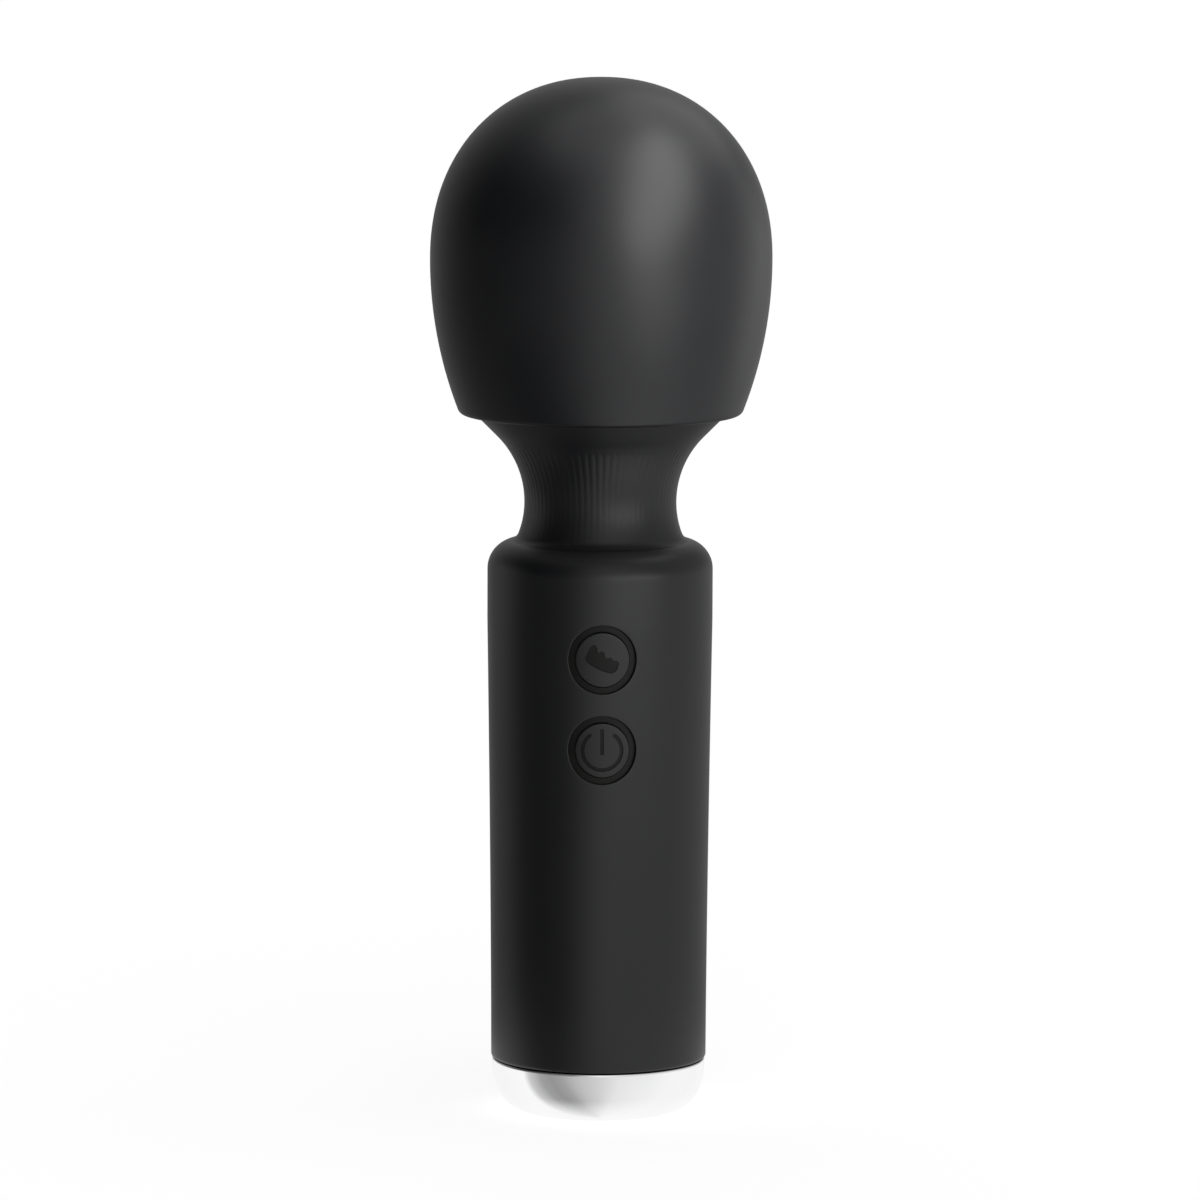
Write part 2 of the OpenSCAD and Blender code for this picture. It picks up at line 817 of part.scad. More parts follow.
module capsule_blank() {
    difference() {
        head_solid(capsule_in, capsule_z, 0.6);
        difference() {
            head_solid(room_in, capsule_z + capsule_t, 0.6);
            translate([0, 0, upper_shelf_z])
                cylinder(r = head_r, h = shelf_t);
            for (z = [damper_z + 1, damper_z + damper_h - 2.6])
                ring(head_r, motor_r + damper_t + fit, z, 1.6);
        }
        translate([0, 0, capsule_z - 1])
            cylinder(r = core_r + run_gap, h = capsule_t + 2);
        translate([0, 0, upper_shelf_z - 1])
            cylinder(d = shelf_hole_d, h = shelf_t + 2);
    }
}

// A screw boss with a rib that joins it to the capsule's wall
module capsule_boss(side, z, y0, y1, r) {
    intersection() {
        mirror([side, 0, 0]) {
            bar_y(r, y0, y1, capsule_screw_x, z);
            block([capsule_screw_x, y0, z - r], [far, y1, z + r]);
        }
        head_solid(capsule_in + 0.3, capsule_z, 0.6);
    }
}

module front_capsule() {
    color([0.18, 0.18, 0.19])
        difference() {
            union() {
                intersection() {
                    capsule_blank();
                    half(true);
                }
                for (side = [0, 1], z = capsule_screw_zs)
                    capsule_boss(side, z, -capsule_screw_l - 1.4, -fit, screw_d / 2 + 1.1);
            }
            for (x = [-1, 1] * capsule_screw_x, z = capsule_screw_zs)
                bar_y(screw_d / 2 + fit / 2, -capsule_screw_l - 4 * fit, 1, x, z);
        }
}

module rear_capsule() {
    color([0.18, 0.18, 0.19])
        difference() {
            union() {
                intersection() {
                    capsule_blank();
                    half(false);
                }
                for (side = [0, 1], z = capsule_screw_zs)
                    capsule_boss(side, z, fit, far, screw_head_d / 2 + 0.5);
            }
            for (x = [-1, 1] * capsule_screw_x, z = capsule_screw_zs) {
                bar_y(screw_d / 2 + fit, -1, far, x, z);
                bar_y(screw_head_d / 2 + fit, capsule_seat_y, far, x, z);
            }
        }
}

module capsule_screws() {
    color([0.62, 0.62, 0.64])
        for (x = [-1, 1] * capsule_screw_x, z = capsule_screw_zs)
            difference() {
                union() {
                    bar_y(screw_d / 2, -capsule_screw_l, capsule_seat_y + screw_head_h / 2, x, z);
                    bar_y(screw_head_d / 2, capsule_seat_y + eps, capsule_seat_y + screw_head_h, x, z);
                }
                screw_cross(x, capsule_seat_y + screw_head_h - screw_slot, z);
            }
}

module motor_can() {
    boss_r = bush_d / 2 + 0.8;
    color([0.7, 0.7, 0.72])
        difference() {
            rotate_extrude()
                polygon(concat(
                    [[0, can_z], [motor_r, can_z]],
                    arc([motor_r - 1, motor_top_z - 1], 1, 0, 90, 5),
                    [[boss_r, motor_top_z], [boss_r, motor_top_z + boss_h], [0, motor_top_z + boss_h]]
                ));
            translate([0, 0, can_z - 1])
                cylinder(r = motor_r - can_t, h = motor_l - motor_cap_t - can_t + 1);
            cylinder(r = bush_d / 2 + 0.02, h = 3 * far);
        }
}

module motor_end_cap() {
    color([0.9, 0.88, 0.82])
        difference() {
            union() {
                translate([0, 0, motor_z])
                    cylinder(r = motor_r - 0.4, h = motor_cap_t);
                translate([0, 0, motor_z])
                    cylinder(r = motor_r - can_t - fit, h = motor_cap_t + 1.5);
            }
            translate([0, 0, motor_z - 1])
                cylinder(r = bush_d / 2 + 0.02, h = motor_cap_t + 4);
            translate([0, 0, motor_z + motor_cap_t])
                cylinder(r = motor_r - can_t - fit - 1.2, h = 2);
            for (x = [-1, 1])
                translate([x * 4.2, 0, motor_z])
                    cube([0.5 + 2 * fit, 2.2 + 2 * fit, 20], center = true);
        }
}

// Two flat solder tabs that come down through the motor's end cap
module motor_terminals() {
    color([0.8, 0.68, 0.35])
        for (x = [-1, 1])
            translate([x * 4.2, 0, motor_z + 0.5])
                cube([0.5, 2.2, 4.4], center = true);
}

// Two leaf springs with carbon pads, one on each side of the commutator
module motor_brushes() {
    leaf_z = motor_z + motor_cap_t + 0.1;
    color([0.55, 0.4, 0.25])
        for (side = [-1, 1]) {
            translate([0, side * (commutator_r + 0.85), leaf_z + 1.7])
                cube([3, 1.5, 1.4], center = true);
            translate([1.8, side * (commutator_r + 1.7), leaf_z + 1.2])
                cube([6.6, 0.3, 2.4], center = true);
        }
}

module motor_magnets() {
    outer = motor_r - can_t - 0.02;
    color([0.22, 0.22, 0.24])
        for (i = [0, 1])
            rotate([0, 0, 180 * i + 20])
                translate([0, 0, can_z + 3])
                    rotate_extrude(angle = 140)
                        translate([outer - magnet_t, 0])
                            square([magnet_t, armature_h + 4]);
}

module motor_bushes() {
    color([0.72, 0.5, 0.25]) {
        ring(bush_d / 2, shaft_r + shaft_fit, motor_z, motor_cap_t);
        ring(bush_d / 2, shaft_r + shaft_fit, motor_top_z - can_t, boss_h + can_t);
    }
}

module motor_damper() {
    color([0.15, 0.15, 0.15])
        ring(motor_r + damper_t, motor_r + fit, damper_z, damper_h);
}

// ---------- rotor ----------

module motor_shaft() {
    color([0.8, 0.8, 0.82])
        translate([0, 0, motor_z + 0.2])
            rotate_extrude()
                polygon([
                    [0, 0], [shaft_r - 0.2, 0], [shaft_r, 0.2],
                    [shaft_r, weight_z + weight_h - motor_z - 0.2],
                    [shaft_r - 0.2, weight_z + weight_h - motor_z], [0, weight_z + weight_h - motor_z]
                ]);
}

// Three poles, each a web with a curved shoe
module armature_core() {
    shoe_r = armature_d / 2;
    slot_w = 2.6;
    color([0.5, 0.5, 0.53])
        translate([0, 0, armature_z])
            linear_extrude(armature_h)
                difference() {
                    circle(r = shoe_r);
                    difference() {
                        circle(r = shoe_r - 1.5);
                        circle(r = 3);
                        for (i = [0:2])
                            rotate(120 * i)
                                translate([0, -1.5])
                                    square([shoe_r, 3]);
                    }
                    for (i = [0:2])
                        rotate(120 * i + 60)
                            translate([shoe_r - 2, -slot_w / 2])
                                square([4, slot_w]);
                    circle(r = shaft_r + 0.01);
                }
}

// A coil round each pole's web
module windings() {
    coil_w = 5.6;
    coil_l = sqrt(pow(armature_d / 2 - 1.55, 2) - pow(coil_w / 2, 2)) - 3.5;
    color([0.72, 0.38, 0.16])
        for (i = [0:2])
            rotate([0, 0, 120 * i])
                translate([3.5, 0, armature_z + armature_h / 2])
                    rotate([90, 0, 90])
                        linear_extrude(coil_l)
                            difference() {
                                square([coil_w, armature_h + 2.8], center = true);
                                square([3.1, armature_h + 0.1], center = true);
                            }
}

module commutator() {
    color([0.78, 0.5, 0.28])
        translate([0, 0, motor_z + motor_cap_t + 0.4])
            difference() {
                cylinder(r = commutator_r, h = armature_z - motor_z - motor_cap_t - 0.5);
                translate([0, 0, -1])
                    cylinder(r = shaft_r + 0.01, h = 9);
                for (i = [0:2])
                    rotate([0, 0, 120 * i + 60])
                        translate([commutator_r - 0.4, -0.15, -1])
                            cube([1, 0.3, 3.6]);
            }
}

// A half disc on a hub, which shakes the head as it turns
module eccentric_weight() {
    color([0.72, 0.6, 0.34])
        translate([0, 0, weight_z])
            difference() {
                union() {
                    cylinder(r = 3, h = weight_h);
                    rotate_extrude(angle = 180)
                        polygon([
                            [0, 0], [weight_r, 0], [weight_r, weight_h - 1],
                            [weight_r - 1, weight_h], [0, weight_h]
                        ]);
                }
                translate([0, 0, -1])
                    cylinder(r = shaft_r + 0.01, h = weight_h + 2);
            }
}

// ---------- keys ----------

// A key: a round piece of the sleeve's own wall
module key_cap(z) {
    color([0.06, 0.06, 0.065])
        difference() {
            intersection() {
                bar_y(key_r, -far, 0, 0, z);
                grip_solid(0, sleeve_z, hem_round);
            }
            grip_solid(key_t, sleeve_z, hem_round);
        }
}

// The hard plunger behind a key, with a flange that stops it inside the shell
module key_plunger(z) {
    key_back_y = -sqrt(pow(grip_at(z - plunger_d / 2) - key_t, 2) - pow(plunger_d / 2, 2));
    color([0.75, 0.75, 0.76]) {
        bar_y(plunger_d / 2, key_back_y + fit / 2, stop_y(z) + stop_t / 2, 0, z);
        bar_y(stop_d / 2, stop_y(z), stop_y(z) + stop_t, 0, z);
    }
}

// Front face of the stop flange, just inside the shell's wall
function stop_y(z) = -sqrt(pow(grip_at(z - stop_d / 2) - cavity_in, 2) - pow(stop_d / 2, 2)) + key_gap;

// The stem from the plunger into the switch, with room for the key's travel
module switch_stem(z) {
    color([0.85, 0.85, 0.85])
        bar_y(stem_d / 2, stop_y(z) + stop_t, board_y - switch_floor - key_travel - run_gap, 0, z);
}

module mode_key() {
    key_cap(mode_z);
}

module mode_plunger() {
    key_plunger(mode_z);
}

module mode_stem() {
    switch_stem(mode_z);
}

module power_key() {
    key_cap(power_z);
}

module power_plunger() {
    key_plunger(power_z);
}

module power_stem() {
    switch_stem(power_z);
}

handle_sleeve();
front_shell();
rear_shell();
shell_screws();
end_cap();
cap_seal();
circuit_board();
board_screws();
board_components();
charge_light();
mode_switch();
power_switch();
cell();
cell_tabs();
cell_pad();
charge_jack();
jack_contacts();
jack_seal();
cell_leads();
jack_leads();
neck_sleeve();
neck_core();
motor_leads();
head_cover();
front_capsule();
rear_capsule();
capsule_screws();
motor_can();
motor_end_cap();
motor_terminals();
motor_brushes();
motor_magnets();
motor_bushes();
motor_damper();
motor_shaft();
armature_core();
windings();
commutator();
eccentric_weight();
mode_key();
mode_plunger();
mode_stem();
power_key();
power_plunger();
power_stem();
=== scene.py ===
import json
import math

import bmesh
import bpy
from mathutils import Matrix, Vector
from mathutils.geometry import delaunay_2d_cdt


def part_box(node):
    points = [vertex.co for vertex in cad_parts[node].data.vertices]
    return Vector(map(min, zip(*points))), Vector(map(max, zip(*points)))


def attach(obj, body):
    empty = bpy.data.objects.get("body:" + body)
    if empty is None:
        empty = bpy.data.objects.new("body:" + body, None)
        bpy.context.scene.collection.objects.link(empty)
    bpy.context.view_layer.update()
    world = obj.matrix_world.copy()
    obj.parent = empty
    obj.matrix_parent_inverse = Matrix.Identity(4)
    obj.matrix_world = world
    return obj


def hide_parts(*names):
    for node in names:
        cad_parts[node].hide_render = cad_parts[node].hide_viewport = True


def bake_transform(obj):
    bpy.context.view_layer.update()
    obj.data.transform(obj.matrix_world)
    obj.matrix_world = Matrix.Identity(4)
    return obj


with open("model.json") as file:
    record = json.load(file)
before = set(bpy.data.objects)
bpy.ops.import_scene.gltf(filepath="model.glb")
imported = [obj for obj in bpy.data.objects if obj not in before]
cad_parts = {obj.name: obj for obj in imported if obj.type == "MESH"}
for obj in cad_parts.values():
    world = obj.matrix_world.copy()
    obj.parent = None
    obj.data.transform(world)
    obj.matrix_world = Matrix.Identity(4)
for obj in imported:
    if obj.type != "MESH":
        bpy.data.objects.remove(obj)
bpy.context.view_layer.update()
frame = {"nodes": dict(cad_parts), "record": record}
nodes = frame["nodes"]
mm = 0.001
tiny = 1e-9          # metres, taken as nothing


print("frame loaded:", len(nodes), "nodes")


# the camera stands a little left of the keys and above the head
cameraSet = {
    "place": (0.0, -1100 * mm, 207.3 * mm),
    "target": (0.0, 0.0, 70 * mm),
    "turn": -1.35,       # degrees round the wand
    "roll": 0.21,        # degrees
    "lens": 246.4,
    "sensor": 36,
    "shiftY": -0.0028,
    "nearest": 10 * mm,
}


def addCamera():
    data = bpy.data.cameras.new("camera")
    data.lens = cameraSet["lens"]
    data.sensor_width = cameraSet["sensor"]
    data.shift_y = cameraSet["shiftY"]
    data.clip_start = cameraSet["nearest"]
    camera = bpy.data.objects.new("camera", data)
    bpy.context.scene.collection.objects.link(camera)
    turn = Matrix.Rotation(math.radians(cameraSet["turn"]), 4, "Z")
    place = turn @ Vector(cameraSet["place"])
    aim = (Vector(cameraSet["target"]) - place).to_track_quat("-Z", "Y")
    roll = Matrix.Rotation(math.radians(cameraSet["roll"]), 4, "Z")
    camera.matrix_world = Matrix.Translation(place) @ aim.to_matrix().to_4x4() @ roll
    bpy.context.scene.camera = camera


addCamera()
print("camera placed")


# small helpers for node trees: an input takes a plain value, or the output of another node
def feed(tree, node, inputs):
    for name, value in inputs.items():
        if isinstance(value, bpy.types.NodeSocket):
            tree.links.new(value, node.inputs[name])
        else:
            node.inputs[name].default_value = value


def addNode(tree, kind, inputs, **settings):
    node = tree.nodes.new(kind)
    for name, value in settings.items():
        setattr(node, name, value)
    feed(tree, node, inputs)
    return node


def newMaterial(name):
    material = bpy.data.materials.new(name)
    material.use_nodes = True
    tree = material.node_tree
    return material, tree, tree.nodes["Principled BSDF"]


noiseSet = {
    "spreadBand": (0.3, 0.7),     # noise levels between which the roughness goes from low to high
    "toneBand": (0.35, 0.65),     # and those between which the colour goes from dark to light
    "grainDetail": 2,
}


def objectNoise(tree, scale, detail, stretch=(1, 1, 1)):
    where = addNode(tree, "ShaderNodeTexCoord", {})
    mapping = addNode(tree, "ShaderNodeMapping", {"Vector": where.outputs["Object"], "Scale": stretch})
    noise = {"Vector": mapping.outputs["Vector"], "Scale": scale, "Detail": detail}
    return addNode(tree, "ShaderNodeTexNoise", noise).outputs["Fac"]


def spread(tree, source, low, high):
    start, end = noiseSet["spreadBand"]
    span = {"Value": source, "From Min": start, "From Max": end, "To Min": low, "To Max": high}
    return addNode(tree, "ShaderNodeMapRange", span).outputs["Result"]


def twoTone(tree, source, dark, light):
    ramp = addNode(tree, "ShaderNodeValToRGB", {"Fac": source})
    for element, position, colour in zip(ramp.color_ramp.elements, noiseSet["toneBand"], (dark, light)):
        element.position = position
        element.color = (*colour, 1)
    return ramp.outputs["Color"]


def relief(tree, height, strength, distance):
    bump = {"Height": height, "Strength": strength, "Distance": distance}
    return addNode(tree, "ShaderNodeBump", bump).outputs["Normal"]


# the moulded finishes: one slow cloud moves colour and gloss, and a fine grain stands in relief
siliconeSet = {
    "dark": (0.0035, 0.0039, 0.0051),
    "light": (0.0053, 0.0057, 0.0069),
    "rough": (0.37, 0.42),
    "cloud": 60,         # both scales are per metre
    "cloudDetail": 3,
    "grain": 5200,
    "grainStrength": 0.12,
    "grainHeight": 0.02 * mm,
    "fixed": {"Metallic": 0.0, "IOR": 1.5},
}
etchedSet = {
    "dark": (0.0042, 0.0038, 0.0033),
    "light": (0.0062, 0.0057, 0.005),
    "rough": (0.42, 0.5),
    "cloud": 400,
    "cloudDetail": 2,
    "grain": 7000,
    "grainStrength": 0.3,
    "grainHeight": 0.03 * mm,
    "fixed": {"Metallic": 0.0, "IOR": 1.5, "Specular IOR Level": 0.24},
}
chromeSet = {
    "dark": (0.93, 0.93, 0.935),
    "light": (0.97, 0.97, 0.972),
    "haze": 90,
    "hazeDetail": 3,
    "rough": (0.03, 0.07),
    "wear": 1600,
    "wearDetail": 4,
    "wearStretch": (1, 1, 0.25),     # the wear runs up and down
}
plainSet = {
    "grainFiner": 12,    # how many times finer than the cloud the grain is
    "cloudDetail": 3,
    "grainHeight": 0.02 * mm,
    # for each slot: name, dark, light, roughness, cloud, and then metallic and grain strength
    "looks": {
        "soft_rubber": ("softRubber", (0.012, 0.012, 0.012), (0.02, 0.02, 0.02), (0.6, 0.75), 300),
        "moulded_plastic": ("mouldedPlastic", (0.045, 0.045, 0.05), (0.06, 0.06, 0.065), (0.45, 0.55), 250),
        "pale_plastic": ("palePlastic", (0.62, 0.61, 0.57), (0.7, 0.69, 0.65), (0.35, 0.45), 250),
        "dark_plastic": ("darkPlastic", (0.012, 0.012, 0.013), (0.02, 0.02, 0.022), (0.25, 0.35), 350),
        "board_green": ("boardGreen", (0.012, 0.09, 0.035), (0.02, 0.13, 0.05), (0.3, 0.4), 500),
        "steel": ("platedSteel", (0.5, 0.5, 0.52), (0.62, 0.62, 0.64), (0.25, 0.4), 400, 1.0, 0.05),
        "laminations": ("laminations", (0.22, 0.22, 0.24), (0.34, 0.34, 0.36), (0.4, 0.55), 900, 1.0),
        "brass": ("brassPlate", (0.62, 0.46, 0.2), (0.75, 0.58, 0.28), (0.25, 0.4), 400, 1.0, 0.05),
        "copper": ("copperWire", (0.6, 0.28, 0.12), (0.74, 0.38, 0.18), (0.3, 0.45), 800, 1.0),
        "lead_sheath": ("leadSheath", (0.45, 0.03, 0.025), (0.58, 0.05, 0.04), (0.35, 0.45), 400),
        "cell_sleeve": ("cellSleeve", (0.03, 0.12, 0.3), (0.05, 0.17, 0.38), (0.2, 0.3), 200),
        "foam": ("closedFoam", (0.07, 0.07, 0.075), (0.12, 0.12, 0.125), (0.85, 0.95), 2500, 0.0, 0.8),
    },
}


def mouldedFinish(name, look):
    material, tree, shader = newMaterial(name)
    cloud = objectNoise(tree, look["cloud"], look["cloudDetail"])
    grain = objectNoise(tree, look["grain"], noiseSet["grainDetail"])
    feed(tree, shader, look["fixed"])
    feed(tree, shader, {
        "Base Color": twoTone(tree, cloud, look["dark"], look["light"]),
        "Roughness": spread(tree, cloud, *look["rough"]),
        "Normal": relief(tree, grain, look["grainStrength"], look["grainHeight"]),
    })
    return material


def plainFinish(name, dark, light, rough, cloud, metallic=0.0, grainStrength=0.15):
    return mouldedFinish(name, {
        "dark": dark, "light": light, "rough": rough, "cloud": cloud, "cloudDetail": plainSet["cloudDetail"],
        "grain": cloud * plainSet["grainFiner"], "grainStrength": grainStrength,
        "grainHeight": plainSet["grainHeight"], "fixed": {"Metallic": metallic},
    })


def polishedChrome():
    material, tree, shader = newMaterial("polishedChrome")
    haze = objectNoise(tree, chromeSet["haze"], chromeSet["hazeDetail"])
    wear = objectNoise(tree, chromeSet["wear"], chromeSet["wearDetail"], chromeSet["wearStretch"])
    feed(tree, shader, {
        "Metallic": 1.0,
        "Base Color": twoTone(tree, haze, chromeSet["dark"], chromeSet["light"]),
        "Roughness": spread(tree, wear, *chromeSet["rough"]),
    })
    return material


silicone = mouldedFinish("satinSilicone", siliconeSet)
etched = mouldedFinish("etchedSilicone", etchedSet)
chrome = polishedChrome()
slotFinish = {slot: plainFinish(*look) for slot, look in plainSet["looks"].items()}
slotFinish.update({"black_silicone": silicone, "polished_cap": chrome})
slotOf = {part["node"]: part["material_slot"] for part in frame["record"]["subparts"]}
for nodeName, nodeObject in nodes.items():
    nodeObject.data.materials.clear()
    nodeObject.data.materials.append(slotFinish[slotOf[nodeName]])
print("finishes made")


# helpers for meshes
meshSet = {
    "mergeWithin": 0.0001 * mm,
    "sharpAngle": 35,        # degrees, over which an edge stays sharp
}


def meshPiece(name, points, faces, finishes, faceFinish=None, sharpAngle=meshSet["sharpAngle"]):
    # merges doubles, turns faces outwards and keeps real edges sharp
    mesh = bpy.data.meshes.new(name)
    mesh.from_pydata(points, [], faces)
    for finish in finishes:
        mesh.materials.append(finish)
    if faceFinish:
        mesh.polygons.foreach_set("material_index", faceFinish)
    work = bmesh.new()
    work.from_mesh(mesh)
    bmesh.ops.remove_doubles(work, verts=work.verts, dist=meshSet["mergeWithin"])
    bmesh.ops.recalc_face_normals(work, faces=work.faces)
    for face in work.faces:
        face.smooth = True
    for edge in work.edges:
        if len(edge.link_faces) == 2:
            edge.smooth = edge.calc_face_angle(0.0) < math.radians(sharpAngle)
    work.to_mesh(mesh)
    work.free()
    mesh.update()
    piece = bpy.data.objects.new(name, mesh)
    bpy.context.scene.collection.objects.link(piece)
    return piece


def rigidPiece(piece, body, node):
    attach(piece, body)
    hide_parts(node)
    return piece


def arcPoints(centre, radius, start, end, steps):
    return [(centre[0] + radius * math.cos(math.radians(start + (end - start) * i / steps)),
             centre[1] + radius * math.sin(math.radians(start + (end - start) * i / steps)))
            for i in range(steps + 1)]


def quarterPoints(a, b, power, steps):
    # a quarter of an oval: power 2 is an ellipse, and more is fuller
    points = []
    for i in range(steps + 1):
        t = math.radians(90 * i / steps)
        points.append((a * max(0.0, math.cos(t)) ** (2 / power), b * math.sin(t) ** (2 / power)))
    return points


def smoothCurve(spans, steps):
    # a smooth curve through the two middle points of each span of four
    points = []
    for p0, p1, p2, p3 in spans:
        for s in range(steps):
            t = s / steps
            points.append(0.5 * ((2 * p1) + (p2 - p0) * t + (2 * p0 - 5 * p1 + 4 * p2 - p3) * t * t
                                 + (3 * p1 - p0 - 3 * p2 + p3) * t * t * t))
    return points


def turned(outline, columns):
    # turns a closed outline of (radius, height) round Z; a point on the axis becomes one pole
    points, rings = [], []
    for radius, height in outline:
        start = len(points)
        if radius < tiny:
            points.append((0.0, 0.0, height))
            rings.append([start] * columns)
        else:
            angles = [2 * math.pi * i / columns for i in range(columns)]
            points += [(radius * math.sin(a), -radius * math.cos(a), height) for a in angles]
            rings.append(list(range(start, start + columns)))
    faces = []
    for low, high in zip(rings, rings[1:] + rings[:1]):
        for i in range(columns):
            k = (i + 1) % columns
            corners = list(dict.fromkeys((low[i], low[k], high[k], high[i])))
            if len(corners) > 2:
                faces.append(corners)
    return points, faces


# levels read from the frame
sleeveLow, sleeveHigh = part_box("handle_sleeve")
coverLow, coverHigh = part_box("head_cover")
creaseZ = sleeveHigh.z       # where the neck rises out of the grip
lipZ = coverLow.z
crownZ = coverHigh.z


def middleZ(node):
    low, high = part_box(node)
    return (low.z + high.z) / 2


# head cover
headSet = {
    "radius": coverHigh.x,
    "domeHeight": 24.4 * mm,
    "domePower": 2.15,
    "domeSteps": 64,
    "skirtArc": 56.4 * mm,
    "skirtSteps": 28,
    "lipRound": 1.0 * mm,
    "lipSteps": 10,
    "wall": 2.4 * mm,
    "innerRound": 0.2 * mm,
    "innerDrop": 2 * mm,     # how far under the lip the inner skirt starts before it is cut off
    "columns": 192,
}


def headOutline(inset, lowest, edge, domeSteps, skirtSteps):
    # rounded lip, long side arc and dome, from the lip up to the crown
    radius, height = headSet["radius"], headSet["domeHeight"]
    widest = crownZ - height
    arc = headSet["skirtArc"] - inset
    axis = radius - headSet["skirtArc"]
    edgeAxis = axis + math.sqrt((arc - edge) ** 2 - (widest - lowest - edge) ** 2)
    start = -math.degrees(math.asin((widest - lowest - edge) / (arc - edge)))
    dome = quarterPoints(radius - inset, height - inset, headSet["domePower"], domeSteps)
    return (arcPoints((edgeAxis, lowest + edge), edge, -90, start, headSet["lipSteps"])
            + arcPoints((axis, widest), arc, start, 0, skirtSteps)[1:]
            + [(r, widest + h) for r, h in dome[1:-1]] + [(0.0, widest + dome[-1][1])])


def makeHeadCover():
    domeSteps, skirtSteps, innerRound = headSet["domeSteps"], headSet["skirtSteps"], headSet["innerRound"]
    outside = headOutline(0, lipZ, headSet["lipRound"], domeSteps, skirtSteps)
    innerLow = lipZ - headSet["innerDrop"]
    inside = headOutline(headSet["wall"], innerLow, innerRound, domeSteps // 2, skirtSteps // 2)
    inside = [(r, h) for r, h in inside if h > lipZ + innerRound]
    foot = (inside[0][0], lipZ)
    outline = [foot] + outside + inside[::-1]
    piece = meshPiece("headCover", *turned(outline, headSet["columns"]), [silicone])
    return rigidPiece(piece, "head", "head_cover")


headCover = makeHeadCover()
print("head cover made")


# the neck's profile is turned in plain mesh, and Geometry Nodes press the flutes into it
neckSet = {
    "waistR": 10.25 * mm,
    "waistRise": 5.1 * mm,   # from the foot up to the waist
    "footR": 11.4 * mm,
    "topR": 16.9 * mm,
    "coreR": 8.3 * mm,
    "skinFrom": 0.5 * mm,    # outside the core's radius, from where the flutes are pressed
    "flutes": 80,
    "fluteDepth": 0.037 * mm,
    "fluteSharpness": 1.6,
    "footShare": 0.15,       # flute depth at the foot, as a share of the depth under the collar
    "collar": 3.9 * mm,
    "fade": 0.4 * mm,
    "fadeSoftness": 0.2,
    "fillet": 0.8 * mm,
    "filletShare": 0.8,
    "tuck": 0.3 * mm,        # how far the ends reach into the grip and under the lip
    "stepsPerFlute": 8,
    "levels": 44,
    "innerEvery": 4,         # the inside has one level for so many outside
    "halfway": 8.3 * mm,     # from the foot up to where the two halves meet
    "bendGap": 0.2 * mm,     # between the two bends
}
halfwayZ = creaseZ + neckSet["halfway"]


def bentPiece(piece, node):
    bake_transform(piece)
    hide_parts(node)
    return piece


def neckRadius(z):
    # one arc from the foot to the waist, and above it another that runs out at 45 degrees
    waist, rise, fillet = neckSet["waistR"], neckSet["waistRise"], neckSet["fillet"]
    waistZ = creaseZ + rise
    if z < waistZ:
        footW = neckSet["footR"] - waist
        arc = (rise ** 2 + footW ** 2) / (2 * footW)
        low = min(max(0, creaseZ + fillet - z), fillet)
        outwards = neckSet["filletShare"] * (fillet - math.sqrt(max(0, fillet ** 2 - low ** 2)))
        return waist + arc - math.sqrt(max(0, arc ** 2 - (waistZ - z) ** 2)) + outwards
    flareH = lipZ - waistZ
    flareW = neckSet["topR"] - waist
    arc = (flareH - flareW) / (math.sqrt(2) - 1)
    flare = math.radians(45)
    coneStart = arc * math.sin(flare)
    if z - waistZ < coneStart:
        return waist + arc - math.sqrt(arc ** 2 - (z - waistZ) ** 2)
    return waist + arc * (1 - math.cos(flare)) + (z - waistZ - coneStart)


